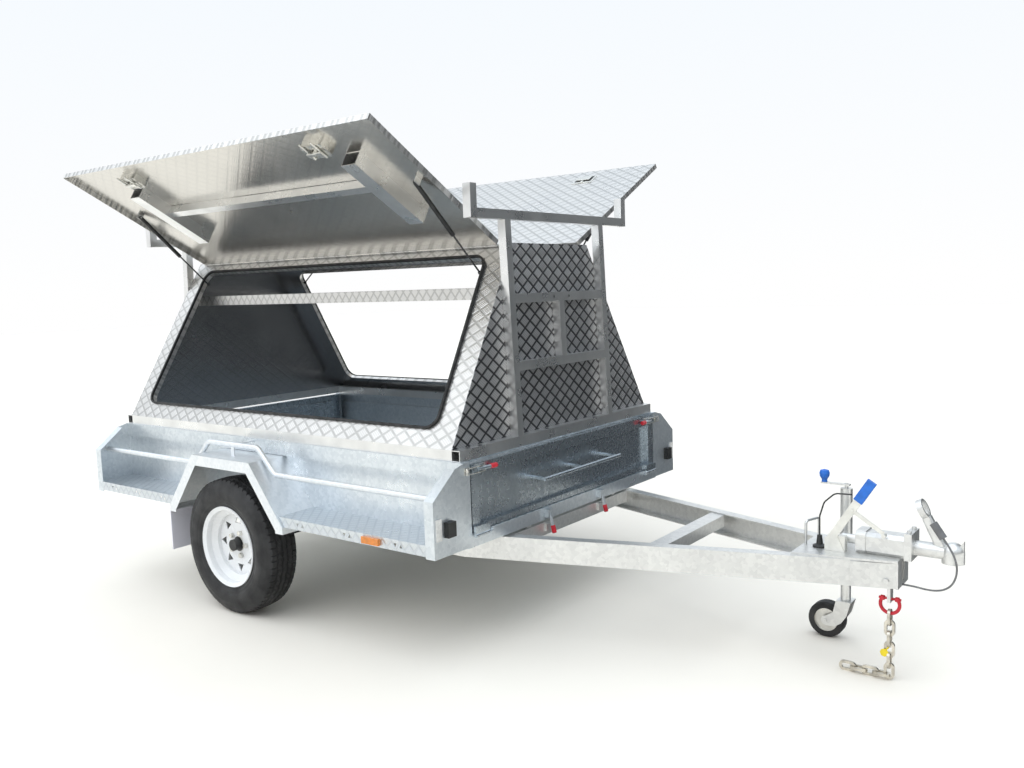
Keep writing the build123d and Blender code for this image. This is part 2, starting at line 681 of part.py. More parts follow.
# Drop gates: a pressed pan with a bent rod rail, hinge pins and corner latches
GATE_MID_Z = (GATE_LOW_Z + GATE_TOP_Z) / 2
GATE_HEIGHT = GATE_TOP_Z - GATE_LOW_Z
LATCH_ARM = 105
LATCH_PLATE = (70, 34, 10)
GATES = [
    # name, station of the outer face, outward direction
    ("gate_front", X_FRONT, 1),
    ("gate_rear", X_REAR, -1),
]
for gate_name, station, outward in GATES:
    with BuildPart() as gate:
        inside = station - outward * GATE_DEPTH
        panel = station - outward * GATE_RECESS
        recess_y = GATE_Y - GATE_BORDER
        recess_z = (GATE_LOW_Z + GATE_BORDER / 2, GATE_TOP_Z - GATE_BORDER)
        pan_x = sorted((inside, station))
        block(pan_x, (-GATE_Y, GATE_Y), (GATE_LOW_Z, GATE_TOP_Z))
        block(
            sorted((inside, station - outward * SHEET)),
            (SHEET - GATE_Y, GATE_Y - SHEET),
            (GATE_LOW_Z + SHEET, GATE_TOP_Z - SHEET),
            mode=Mode.SUBTRACT,
        )
        block(
            sorted((panel - outward * SHEET, station)),
            (-recess_y - SHEET, recess_y + SHEET),
            (recess_z[0] - SHEET, recess_z[1] + SHEET),
        )
        block(sorted((panel, station)), (-recess_y, recess_y), recess_z, mode=Mode.SUBTRACT)
        rail_x = station + outward * (GATE_RAIL_REACH - GATE_ROD_R)
        for rail_y in (-GATE_ROD_HALF, 0, GATE_ROD_HALF):
            standoff_foot = (panel - outward * SHEET / 2, rail_y, GATE_ROD_Z)
            rod(standoff_foot, (rail_x, rail_y, GATE_ROD_Z), GATE_STANDOFF_R)
        rod(
            (rail_x, -GATE_ROD_HALF - 2 * GATE_ROD_R, GATE_ROD_Z),
            (rail_x, GATE_ROD_HALF + 2 * GATE_ROD_R, GATE_ROD_Z),
            GATE_ROD_R,
        )
        pin_x = station + outward * GATE_PIN_OUT
        pin_length = 2 * GATE_BORDER
        for side in (-1, 1):
            leaf_y = sorted((side * (GATE_Y - pin_length), side * GATE_Y))
            pin_tip = side * (GATE_Y - pin_length - GATE_LUG)
            rod((pin_x, pin_tip, GATE_PIN_Z), (pin_x, side * GATE_Y, GATE_PIN_Z), GATE_PIN_R)
            leaf_out = pin_x + outward * GATE_PIN_R / 2
            leaf_top = GATE_LOW_Z + GATE_BORDER / 2
            block(sorted((station, leaf_out)), leaf_y, (GATE_LOW_Z, leaf_top))
            block(sorted((station + outward * MOVING_GAP, leaf_out)), leaf_y, (GATE_PIN_Z, leaf_top))
            latch_y = side * (GATE_Y - LATCH_PLATE[0] / 2)
            latch_z = GATE_TOP_Z - GATE_BORDER / 2
            block(
                sorted((station, station + outward * LATCH_PLATE[2])),
                (latch_y - LATCH_PLATE[0] / 2, latch_y + LATCH_PLATE[0] / 2),
                (latch_z - LATCH_PLATE[1] / 2, latch_z + LATCH_PLATE[1] / 2),
            )
            rod(
                (station + outward * LATCH_PLATE[2], latch_y, latch_z),
                (station + outward * 2 * LATCH_PLATE[2], latch_y - side * LATCH_ARM, latch_z),
                GATE_PIN_R,
            )
    give(gate_name, gate.part)

with BuildPart() as gate_hinges:
    lug_end = GATE_Y - 2 * GATE_BORDER - KNUCKLE_GAP / 2
    for gate_name, station, outward in GATES:
        pin_x = station + outward * GATE_PIN_OUT
        for side in (-1, 1):
            lug_y = sorted((side * (lug_end - GATE_LUG), side * lug_end))
            rod((pin_x, lug_y[0], GATE_PIN_Z), (pin_x, lug_y[1], GATE_PIN_Z), GATE_LUG_R)
            block(sorted((station, pin_x)), lug_y, (GATE_PIN_Z - GATE_LUG_R, GATE_PIN_Z + GATE_PIN_R / 2))
            bore_ends = [(pin_x, lug_y[0] - SHEET, GATE_PIN_Z), (pin_x, lug_y[1] + SHEET, GATE_PIN_Z)]
            rod(*bore_ends, GATE_PIN_R + SEAT, mode=Mode.SUBTRACT)
give("gate_hinges", gate_hinges.part)

# Canopy: base tubes, leaning end walls, roof and side frames
X_CANOPY = X_FRONT - CANOPY_SETBACK
X_CANOPY_REAR = X_CANOPY - CANOPY_LENGTH
CANOPY_Y = CANOPY_WIDTH / 2
ROOF_Y = ROOF_WIDTH / 2
BASE_Z = TUB_TOP_Z + BASE_TUBE
SLOPE_RUN = CANOPY_Y - ROOF_Y
SLOPE_RISE = ROOF_Z - BASE_Z
SLOPE = math.hypot(SLOPE_RUN, SLOPE_RISE)
with BuildPart() as canopy_base:
    base_mid_z = TUB_TOP_Z + BASE_TUBE / 2
    for tube_x in (X_CANOPY - BASE_DEPTH / 2, X_CANOPY_REAR + BASE_DEPTH / 2):
        hollow_bar(
            (tube_x, -CANOPY_Y, base_mid_z), (tube_x, CANOPY_Y, base_mid_z), BASE_DEPTH, BASE_TUBE, BASE_WALL
        )
    strip_y = BASE_DEPTH / 2 - CANOPY_Y
    strip_ends = (X_CANOPY_REAR + BASE_DEPTH + SEAT, X_CANOPY - BASE_DEPTH - SEAT)
    for side in (1, -1):
        hollow_bar(
            (strip_ends[0], side * strip_y, base_mid_z),
            (strip_ends[1], side * strip_y, base_mid_z),
            BASE_DEPTH,
            BASE_TUBE,
            BASE_WALL,
        )
give("canopy_base", canopy_base.part)

WALL_FRONT = X_CANOPY - WALL_SETBACK
WALL_REAR = X_CANOPY_REAR + WALL_SETBACK
LEAN_RATE = WALL_LEAN / SLOPE_RISE


def canopy_block(inset):
    """The canopy's leaning block, drawn in by a sheet's thickness on every face but the base."""
    rise = SLOPE_RISE - inset
    run_rate = SLOPE_RUN / SLOPE_RISE
    side_inset = inset * SLOPE / SLOPE_RISE
    base_y = CANOPY_Y - side_inset
    top_y = base_y - rise * run_rate
    with BuildPart() as solid:
        with BuildSketch(ground_plane(WALL_REAR)) as across:
            Polygon(
                (-base_y, BASE_Z),
                (base_y, BASE_Z),
                (top_y, BASE_Z + rise),
                (-top_y, BASE_Z + rise),
                align=None,
            )
        extrude(across.sketch, amount=WALL_FRONT - WALL_REAR, dir=(1, 0, 0))
        with BuildSketch(side_plane(CANOPY_Y)) as along:
            Polygon(
                (WALL_REAR + inset, BASE_Z),
                (WALL_FRONT - inset, BASE_Z),
                (WALL_FRONT - inset - rise * LEAN_RATE, BASE_Z + rise),
                (WALL_REAR + inset + rise * LEAN_RATE, BASE_Z + rise),
                align=None,
            )
        extrude(along.sketch, amount=2 * CANOPY_Y, dir=(0, -1, 0), mode=Mode.INTERSECT)
    return solid.part


CANOPY_SHELL = canopy_block(0) - canopy_block(PANEL)
FRONT_CUT = Plane(
    origin=(WALL_FRONT - PANEL, 0, BASE_Z), x_dir=(0, 1, 0), z_dir=(SLOPE_RISE, 0, WALL_LEAN)
)
REAR_CUT = Plane(
    origin=(WALL_REAR + PANEL, 0, BASE_Z), x_dir=(0, 1, 0), z_dir=(-SLOPE_RISE, 0, WALL_LEAN)
)
ROOF_CUT = Plane.XY.offset(ROOF_Z - PANEL)
BETWEEN_WALLS = CANOPY_SHELL.split(FRONT_CUT, keep=Keep.BOTTOM).split(REAR_CUT, keep=Keep.BOTTOM)

with BuildPart() as canopy_front_wall:
    add(CANOPY_SHELL)
    split(bisect_by=FRONT_CUT, keep=Keep.TOP)
give("canopy_front_wall", canopy_front_wall.part)

with BuildPart() as canopy_rear_wall:
    add(CANOPY_SHELL)
    split(bisect_by=REAR_CUT, keep=Keep.TOP)
    vent_z = ROOF_Z - 2 * OPENING_TOP
    vent_x = WALL_REAR + (vent_z - BASE_Z) * LEAN_RATE
    block(
        (vent_x - VENT_SIZE[2], vent_x),
        (-VENT_SIZE[0] / 2, VENT_SIZE[0] / 2),
        (vent_z - VENT_SIZE[1] / 2, vent_z + VENT_SIZE[1] / 2),
    )
give("canopy_rear_wall", canopy_rear_wall.part)

with BuildPart() as canopy_roof:
    add(BETWEEN_WALLS)
    split(bisect_by=ROOF_CUT, keep=Keep.TOP)
give("canopy_roof", canopy_roof.part)

# A plane on the right side frame: local x forward, local y up the slope, z outward
SIDE_NORMAL = (0, -SLOPE_RISE / SLOPE, SLOPE_RUN / SLOPE)
SIDE_FACE = Plane(origin=(0, -ROOF_Y, ROOF_Z), x_dir=(1, 0, 0), z_dir=SIDE_NORMAL)


def side_edge(down):
    """Rear and front ends of the side frame at a distance down its slope."""
    lean = WALL_LEAN * (1 - down / SLOPE)
    return WALL_REAR + lean, WALL_FRONT - lean


def opening_corners(margin):
    """Corners of the door opening, grown outward by a margin."""
    corners = []
    for down in (OPENING_TOP - margin, OPENING_BOTTOM + margin):
        rear, front = side_edge(down)
        corners.append((rear + OPENING_END - margin, -down))
        corners.append((front - OPENING_END + margin, -down))
    top_rear, top_front, low_rear, low_front = corners
    return [top_rear, low_rear, low_front, top_front]


def opening_outline(plane, margin):
    """The door opening as a sketch with round corners."""
    with BuildSketch(plane) as outline:
        Polygon(*opening_corners(margin), align=None)
        fillet(outline.vertices(), OPENING_R + margin)
    return outline.sketch


HINGE_Y = -ROOF_Y - HINGE_DROP * SLOPE_RUN / SLOPE - HINGE_OUT * SLOPE_RISE / SLOPE
HINGE_Z = ROOF_Z - HINGE_DROP * SLOPE_RISE / SLOPE + HINGE_OUT * SLOPE_RUN / SLOPE
HINGE_ENDS = [end + way * DOOR_END for end, way in zip(side_edge(HINGE_DROP), (1, -1))]
KNUCKLE = (HINGE_ENDS[1] - HINGE_ENDS[0]) / HINGE_KNUCKLES


def knuckles(first, web_plane, web_reach):
    """Every other hinge knuckle, each with the web that carries it."""
    for index in range(first, HINGE_KNUCKLES, 2):
        start = HINGE_ENDS[0] + index * KNUCKLE + KNUCKLE_GAP / 2
        end = start + KNUCKLE - KNUCKLE_GAP
        rod((start, HINGE_Y, HINGE_Z), (end, HINGE_Y, HINGE_Z), HINGE_R)
        with BuildSketch(web_plane) as web:
            with Locations(((start + end) / 2, 0)):
                Rectangle(end - start, SHEET)
        extrude(web.sketch, amount=web_reach, dir=web_plane.z_dir)


FRAME_WEB = Plane(origin=(0, HINGE_Y, HINGE_Z), x_dir=(1, 0, 0), z_dir=[-n for n in SIDE_NORMAL])
with BuildPart() as canopy_side:
    add(BETWEEN_WALLS)
    split(bisect_by=ROOF_CUT, keep=Keep.BOTTOM)
    split(bisect_by=Plane.XZ, keep=Keep.TOP)
    lip_plane = SIDE_FACE.offset(-LIP)
    extrude(opening_outline(lip_plane, SHEET), amount=LIP, dir=SIDE_NORMAL)
    extrude(opening_outline(lip_plane, 0), amount=2 * LIP, dir=SIDE_NORMAL, mode=Mode.SUBTRACT)
    knuckles(0, FRAME_WEB, HINGE_OUT)
give_pair("canopy_side", canopy_side.part)

with BuildPart() as door_seals:
    extrude(opening_outline(SIDE_FACE, SEAL_WIDTH), amount=SEAL_HEIGHT, dir=SIDE_NORMAL)
    extrude(opening_outline(SIDE_FACE, 0), amount=SEAL_HEIGHT, dir=SIDE_NORMAL, mode=Mode.SUBTRACT)
    mirror(about=Plane.XZ)
give("door_seals", door_seals.part)

with BuildPart() as inner_rails:
    rail_rise = INNER_RAIL_Z + SHEET - BASE_Z
    rail_lean = rail_rise * LEAN_RATE + PANEL
    rail_y = CANOPY_Y - PANEL * SLOPE / SLOPE_RISE - rail_rise * SLOPE_RUN / SLOPE_RISE - LIP - DOOR_TUBE[1]
    inner_low = INNER_RAIL_Z - INNER_RAIL_SIZE
    folded(
        [(-rail_y, inner_low), (-rail_y, INNER_RAIL_Z), (INNER_RAIL_SIZE - rail_y, INNER_RAIL_Z)],
        ground_plane(WALL_REAR + rail_lean),
        -SHEET,
        WALL_FRONT - WALL_REAR - 2 * rail_lean,
    )
    mirror(about=Plane.XZ)
give("inner_rails", inner_rails.part)

# Side doors: a folded pan, two open tubes with an angle between them, and paddle latches
OPEN = math.radians(DOOR_OPEN_ANGLE)
DOOR_OUT = Vector(0, -math.cos(OPEN), math.sin(OPEN))
DOOR_NORMAL = Vector(0, math.sin(OPEN), math.cos(OPEN))
HINGE_POINT = Vector(0, HINGE_Y, HINGE_Z)
DOOR_FACE = Plane(origin=HINGE_POINT, x_dir=(1, 0, 0), z_dir=DOOR_NORMAL)
DOOR_LIP = MOVING_GAP - HINGE_OUT
DOOR_SKIN = DOOR_LIP + DOOR_DEPTH - DOOR_SHEET
DOOR_START = 8


def door_outline(inset):
    """The door's outline, drawn in by an inset."""
    corners = []
    for out in (DOOR_START + inset, DOOR_WIDTH - inset):
        rear, front = side_edge(HINGE_DROP + out)
        corners.append((rear + DOOR_END + inset, -out))
        corners.append((front - DOOR_END - inset, -out))
    near_rear, near_front, far_rear, far_front = corners
    return [near_rear, far_rear, far_front, near_front]


DOOR_WEB = Plane(origin=HINGE_POINT, x_dir=(1, 0, 0), z_dir=DOOR_OUT)
with BuildPart() as door:
    plate(door_outline(0), DOOR_FACE.offset(DOOR_LIP), DOOR_DEPTH)
    plate(door_outline(DOOR_SHEET), DOOR_FACE.offset(DOOR_LIP), DOOR_DEPTH - DOOR_SHEET, mode=Mode.SUBTRACT)
    knuckles(1, DOOR_WEB, DOOR_START)
give_pair("door", door.part)

DOOR_X_REAR = WALL_REAR + DOOR_TUBE_REAR
DOOR_X_FRONT = WALL_FRONT - DOOR_TUBE_FRONT
LATCH_X = (DOOR_X_REAR + LATCH_SIZE[0] / 2, DOOR_X_FRONT - LATCH_SIZE[0])


STRUT_ENDS = [
    end + way * (OPENING_END + STRUT_INSET) for end, way in zip(side_edge(STRUT_FRAME_T), (1, -1))
]
EYE_HALF = 5
PIN_R = 4


def on_door(x, out, above):
    """A point given in the door's own directions."""
    return HINGE_POINT + Vector(x, 0, 0) + DOOR_OUT * out + DOOR_NORMAL * above


with BuildPart() as door_fittings:
    tube_width, tube_depth, tube_wall = DOOR_TUBE
    tube_mid = DOOR_SKIN - tube_depth / 2
    for tube_x in (DOOR_X_REAR, DOOR_X_FRONT):
        hollow_bar(
            on_door(tube_x, DOOR_TUBE_SPAN[0], tube_mid),
            on_door(tube_x, DOOR_TUBE_SPAN[1], tube_mid),
            tube_width,
            tube_depth,
            tube_wall,
            up=DOOR_NORMAL,
        )
    angle_plane = Plane(
        origin=on_door(DOOR_X_REAR + tube_width / 2 + SEAT, 0, 0), x_dir=DOOR_OUT, z_dir=(1, 0, 0)
    )
    angle_length = DOOR_X_FRONT - DOOR_X_REAR - tube_width - 2 * SEAT
    with BuildSketch(angle_plane) as angle_face:
        leg = (DOOR_ANGLE_T - SHEET, DOOR_SKIN - DOOR_ANGLE)
        foot = (DOOR_ANGLE_T - DOOR_ANGLE, DOOR_SKIN - SHEET)
        for corner, size in [(leg, (SHEET, DOOR_ANGLE)), (foot, (DOOR_ANGLE, SHEET))]:
            with Locations(corner):
                Rectangle(*size, align=(Align.MIN, Align.MIN))
    extrude(angle_face.sketch, amount=angle_length, dir=(1, 0, 0))
    for latch_x in LATCH_X:
        with BuildSketch(DOOR_FACE.offset(DOOR_SKIN)) as latch_face:
            with Locations((latch_x, -LATCH_T)):
                RectangleRounded(LATCH_SIZE[0], LATCH_SIZE[1], LATCH_SIZE[2] / 2)
        extrude(latch_face.sketch, amount=LATCH_SIZE[2], dir=DOOR_NORMAL * -1)
    for x in STRUT_ENDS:
        way = 1 if x > X_AXLE else -1
        rod(
            on_door(x - way * EYE_HALF, STRUT_DOOR_T, STRUT_DOOR_OUT),
            on_door(x + way * 2 * EYE_HALF, STRUT_DOOR_T, STRUT_DOOR_OUT),
            PIN_R,
        )
        with BuildSketch(DOOR_FACE.offset(STRUT_DOOR_OUT - STRUT_EYE_R)) as tab_face:
            with Locations((x + way * (2 * EYE_HALF + SHEET), -STRUT_DOOR_T)):
                Rectangle(2 * SHEET, 4 * STRUT_EYE_R)
        extrude(tab_face.sketch, amount=DOOR_SKIN - STRUT_DOOR_OUT + STRUT_EYE_R, dir=DOOR_NORMAL)
give_pair("door_fittings", door_fittings.part)

# Gas struts: cylinders pivot on the door, rods slide in them and reach the frame brackets
FRAME_ANCHOR = (
    Vector(0, -ROOF_Y, ROOF_Z)
    + Vector(0, -SLOPE_RUN, -SLOPE_RISE) * (STRUT_FRAME_T / SLOPE)
    - Vector(*SIDE_NORMAL) * STRUT_FRAME_IN
)
DOOR_ANCHOR = on_door(0, STRUT_DOOR_T, STRUT_DOOR_OUT)
STRUT_LINE = FRAME_ANCHOR - DOOR_ANCHOR
STRUT_LENGTH = STRUT_LINE.length
STRUT_WAY = STRUT_LINE.normalized()


def strut_point(x, along):
    """A point on a strut's axis at a distance from its pivot on the door."""
    return DOOR_ANCHOR + Vector(x, 0, 0) + STRUT_WAY * along


with BuildPart() as strut_cylinders:
    for x in STRUT_ENDS:
        rod(strut_point(x, STRUT_EYE_R / 2), strut_point(x, STRUT_TUBE), STRUT_R)
        rod(strut_point(x, STRUT_EYE_R), strut_point(x, STRUT_TUBE), STRUT_ROD_R + SEAT, mode=Mode.SUBTRACT)
        rod(strut_point(x - EYE_HALF, 0), strut_point(x + EYE_HALF, 0), STRUT_EYE_R)
        rod(strut_point(x - EYE_HALF, 0), strut_point(x + EYE_HALF, 0), PIN_R + SEAT, mode=Mode.SUBTRACT)
give_pair("strut_cylinders", strut_cylinders.part)

STRUT_OVERLAP = 60
with BuildPart() as strut_rods:
    for x in STRUT_ENDS:
        rod(strut_point(x, STRUT_TUBE - STRUT_OVERLAP), strut_point(x, STRUT_LENGTH), STRUT_ROD_R)
        eye_ends = (strut_point(x - EYE_HALF, STRUT_LENGTH), strut_point(x + EYE_HALF, STRUT_LENGTH))
        rod(*eye_ends, STRUT_EYE_R)
give_pair("strut_rods", strut_rods.part)

with BuildPart() as frame_brackets:
    for x in STRUT_ENDS:
        way = 1 if x > X_AXLE else -1
        anchor = FRAME_ANCHOR + Vector(x, 0, 0)
        stud_start = anchor + Vector(way * (EYE_HALF + SEAT), 0, 0)
        rod(stud_start, anchor + Vector(way * (STRUT_INSET - SEAT), 0, 0), PIN_R)
    mirror(about=Plane.XZ)
give("frame_brackets", frame_brackets.part)

# Racks over the end walls: uprights, rungs, a centre post and a top bar with upstands
RACK_HALF = RACK_TUBE / 2
RACK_WALL = 3
RACKS = [
    # name, foot station, direction the rack faces
    ("rack_front", X_CANOPY - RACK_HALF + SEAT, 1),
    ("rack_rear", X_CANOPY_REAR + RACK_HALF - SEAT, -1),
]
for rack_name, foot_x, facing in RACKS:

    def on_rack(y, z):
        """A point on the leaning rack."""
        return Vector(foot_x - facing * (z - BASE_Z) * LEAN_RATE, y, z)

    up_rack = Vector(-facing * LEAN_RATE, 0, 1)
    with BuildPart() as rack:
        bar_z = RACK_TOP_Z - RACK_HALF
        bar_x = on_rack(0, bar_z).X
        end_lift = RACK_HALF * LEAN_RATE
        for side in (-1, 1):
            hollow_bar(
                on_rack(side * RACK_Y, BASE_Z - RACK_WALL),
                on_rack(side * RACK_Y, bar_z - RACK_HALF - SEAT - end_lift),
                RACK_TUBE,
                RACK_TUBE,
                RACK_WALL,
                up=(0, 1, 0),
            )
            horn_y = side * (RACK_BAR_HALF - RACK_HALF)
            hollow_bar(
                (bar_x, horn_y, bar_z - RACK_HALF),
                (bar_x, horn_y, RACK_TOP_Z + RACK_UPSTAND),
                RACK_TUBE,
                RACK_TUBE,
                RACK_WALL,
                up=(0, 1, 0),
            )
        bar_end = RACK_BAR_HALF - RACK_TUBE - SEAT
        hollow_bar((bar_x, -bar_end, bar_z), (bar_x, bar_end, bar_z), RACK_TUBE, RACK_TUBE, RACK_WALL)
        rung_y = RACK_Y - RACK_HALF - SEAT
        for rung_z in RACK_RUNG_Z:
            rung_ends = (on_rack(-rung_y, rung_z), on_rack(rung_y, rung_z))
            hollow_bar(*rung_ends, RACK_TUBE, RACK_TUBE, RACK_WALL, up=up_rack)
        for hole_y in (-RACK_HOLE_Y, RACK_HOLE_Y):
            hole = on_rack(hole_y, RACK_RUNG_Z[1])
            through = Vector(RACK_TUBE, 0, 0)
            rod(hole - through, hole + through, RACK_HOLE_R, mode=Mode.SUBTRACT)
        hollow_bar(
            on_rack(0, RACK_RUNG_Z[0] + RACK_HALF + SEAT),
            on_rack(0, RACK_RUNG_Z[1] - RACK_HALF - SEAT),
            RACK_TUBE,
            RACK_TUBE,
            RACK_WALL,
            up=(0, 1, 0),
        )
        split(bisect_by=Plane.XY.offset(BASE_Z), keep=Keep.TOP)
    give(rack_name, rack.part)

# Lamps and reflectors
TAIL_LAMP = (30, 90, 100)
TAIL_LAMP_Y = WING_Y - 75
TAIL_LAMP_Z = 590
with BuildPart() as tail_lamps:
    lamp_plane = Plane(origin=(X_REAR, -TAIL_LAMP_Y, TAIL_LAMP_Z), x_dir=(0, -1, 0), z_dir=(-1, 0, 0))
    with BuildSketch(lamp_plane) as lamp:
        RectangleRounded(TAIL_LAMP[1], TAIL_LAMP[2], TAIL_LAMP[0] / 3)
    extrude(lamp.sketch, amount=TAIL_LAMP[0], dir=(-1, 0, 0))
    mirror(about=Plane.XZ)
give("tail_lamps", tail_lamps.part)

MARKER_LAMPS = [
    # in from the wing's edge, z, width, height, depth
    (81, 579, 46, 60, 24),
    (25, 585, 30, 86, 6),
]
SIDE_MARKER = (96, 28, 14)
SIDE_MARKER_BACK = 343
with BuildPart() as marker_lamps:
    for inset, lamp_z, width, height, depth in MARKER_LAMPS:
        lamp_y = inset - WING_Y
        block(
            (X_FRONT, X_FRONT + depth),
            (lamp_y - width / 2, lamp_y + width / 2),
            (lamp_z - height / 2, lamp_z + height / 2),
        )
    lip_mid = FLOOR_Z - SHELF_LIP / 2
    block(
        (X_FRONT - SIDE_MARKER_BACK - SIDE_MARKER[0] / 2, X_FRONT - SIDE_MARKER_BACK + SIDE_MARKER[0] / 2),
        (-WING_Y - SIDE_MARKER[2], -WING_Y),
        (lip_mid - SIDE_MARKER[1] / 2, lip_mid + SIDE_MARKER[1] / 2),
    )
    mirror(about=Plane.XZ)
give("marker_lamps", marker_lamps.part)

# Drawbar: two channels that open inward, run under the bed and carry the tilt pivot
DRAWBAR_SLOPE = (DRAWBAR_SPREAD - DRAWBAR_NOSE_Y) / DRAWBAR_LENGTH
DRAWBAR_BEND = X_FRONT - (DRAWBAR_RAIL_Y - DRAWBAR_SPREAD) / DRAWBAR_SLOPE
DRAWBAR_ANGLE = math.atan(DRAWBAR_SLOPE)
TIP_OFFSET = DRAWBAR_FLANGE / math.cos(DRAWBAR_ANGLE)
RAIL_RELIEF = 130
RAIL_SHALLOW = 67


def flange_tip(x, inset=0.0):
    """Half distance between the drawbar's flange tips at a station on the A."""
    return DRAWBAR_SPREAD - (x - X_FRONT) * DRAWBAR_SLOPE - TIP_OFFSET - inset


with BuildPart() as drawbar_rails:
    with BuildLine() as rail_line:
        Polyline(
            (X_AXLE - DRAWBAR_END, -DRAWBAR_RAIL_Y, DRAWBAR_TOP),
            (DRAWBAR_BEND, -DRAWBAR_RAIL_Y, DRAWBAR_TOP),
            (X_FRONT + DRAWBAR_LENGTH, -DRAWBAR_NOSE_Y, DRAWBAR_TOP),
        )
    with BuildSketch(ground_plane(X_AXLE - DRAWBAR_END, -DRAWBAR_RAIL_Y, DRAWBAR_TOP)) as channel:
        Rectangle(DRAWBAR_FLANGE, DRAWBAR_HEIGHT, align=(Align.MIN, Align.MAX))
        with Locations((DRAWBAR_WALL, -DRAWBAR_WALL)):
            inside = DRAWBAR_HEIGHT - 2 * DRAWBAR_WALL
            Rectangle(DRAWBAR_FLANGE, inside, align=(Align.MIN, Align.MAX), mode=Mode.SUBTRACT)
    sweep(channel.sketch, path=rail_line.line, transition=Transition.RIGHT)
    block(
        (X_AXLE - 2 * DRAWBAR_END, X_AXLE + RAIL_RELIEF),
        (-DRAWBAR_RAIL_Y - DRAWBAR_FLANGE, DRAWBAR_FLANGE - DRAWBAR_RAIL_Y + DRAWBAR_WALL),
        (DRAWBAR_LOW - DRAWBAR_WALL, DRAWBAR_TOP - RAIL_SHALLOW),
        mode=Mode.SUBTRACT,
    )
    rod(
        (X_AXLE, -DRAWBAR_RAIL_Y - DRAWBAR_WALL, PIVOT_Z),
        (X_AXLE, 2 * DRAWBAR_WALL - DRAWBAR_RAIL_Y, PIVOT_Z),
        PIVOT_R + SEAT,
        mode=Mode.SUBTRACT,
    )
    mirror(about=Plane.XZ)
give("drawbar_rails", drawbar_rails.part)

TILT_LATCH_Y = (-233, 205)
TILT_LATCH = (24, 40, 42)
TILT_LEVER = 92
KEEPER = (20, 34, 34)
BEAM_SPANS = [
    # rear station, front station, low z, top z
    (X_FRONT - BEAM_WIDTH, X_FRONT, DRAWBAR_TOP - CROSS_BEAM_DEPTH, DRAWBAR_TOP),
    (
        X_FRONT + MID_BAR_AHEAD,
        X_FRONT + MID_BAR_AHEAD + MID_BAR_WIDTH,
        DRAWBAR_TOP - CROSS_BEAM_DEPTH,
        DRAWBAR_TOP - DRAWBAR_WALL,
    ),
]
NOSE_PLATE = 8
NOSE_SLOT = (34, 76)
DOUBLER = 7
DOUBLER_LENGTH = 150
DOUBLER_BOLT = 30
BOLT_R = 11
STOP_PAD = (40, 30)
STOP_PAD_INSET = 118
with BuildPart() as drawbar_beams:
    for rear, front, low, top in BEAM_SPANS:
        rear_y = flange_tip(rear, SEAT)
        front_y = flange_tip(front, SEAT)
        beam = [(rear, -rear_y), (rear, rear_y), (front, front_y), (front, -front_y)]
        plate(beam, Plane.XY.offset(low), top - low)
    for side in (-1, 1):
        pad_y = side * (flange_tip(X_FRONT) - STOP_PAD_INSET)
        block(
            (X_FRONT - BEAM_WIDTH, X_FRONT - BEAM_WIDTH + STOP_PAD[0]),
            (pad_y - STOP_PAD[1] / 2, pad_y + STOP_PAD[1] / 2),
            (DRAWBAR_TOP, BED_LOW_Z - SEAT),
        )
    nose_x = X_FRONT + DRAWBAR_LENGTH
    nose_half = DRAWBAR_NOSE_Y + NOSE_PLATE
    block((nose_x + SEAT, nose_x + NOSE_PLATE), (-nose_half, nose_half), (DRAWBAR_LOW, DRAWBAR_TOP))
    block(
        (nose_x, nose_x + 2 * NOSE_PLATE),
        (-NOSE_SLOT[0] / 2, NOSE_SLOT[0] / 2),
        (DRAWBAR_TOP - NOSE_PLATE - NOSE_SLOT[1], DRAWBAR_TOP - NOSE_PLATE),
        mode=Mode.SUBTRACT,
    )
    for side in (-1, 1):
        doubler = []
        for back, out in [(DOUBLER_LENGTH, 0), (0, 0), (0, DOUBLER), (DOUBLER_LENGTH, DOUBLER)]:
            face_y = DRAWBAR_NOSE_Y + back * DRAWBAR_SLOPE + SEAT + out
            doubler.append((nose_x - back, side * face_y))
        plate(doubler, Plane.XY.offset(DRAWBAR_LOW + DOUBLER / 2), DRAWBAR_HEIGHT - DOUBLER)
        bolt_x = nose_x - DOUBLER_BOLT
        bolt_y = DRAWBAR_NOSE_Y + DOUBLER_BOLT * DRAWBAR_SLOPE + DOUBLER / 2
        bolt_z = DRAWBAR_LOW + DOUBLER_BOLT
        bolt_face = Plane(origin=(bolt_x, side * bolt_y, bolt_z), x_dir=(1, 0, 0), z_dir=(0, side, 0))
        with BuildSketch(bolt_face) as bolt:
            RegularPolygon(BOLT_R, 6)
        extrude(bolt.sketch, amount=2 * DOUBLER, dir=bolt_face.z_dir)
    pivot_half = DRAWBAR_RAIL_Y + MOVING_GAP + LUG_THICK + MOVING_GAP
    rod((X_AXLE, -pivot_half, PIVOT_Z), (X_AXLE, pivot_half, PIVOT_Z), PIVOT_R)
    keeper_top = DRAWBAR_TOP - MOVING_GAP
    for latch_y in TILT_LATCH_Y:
        block(
            (X_FRONT - SEAT, X_FRONT + KEEPER[0] / 2),
            (latch_y - KEEPER[1] / 2, latch_y + KEEPER[1] / 2),
            (keeper_top - KEEPER[2], keeper_top),
        )
give("drawbar_beams", drawbar_beams.part)

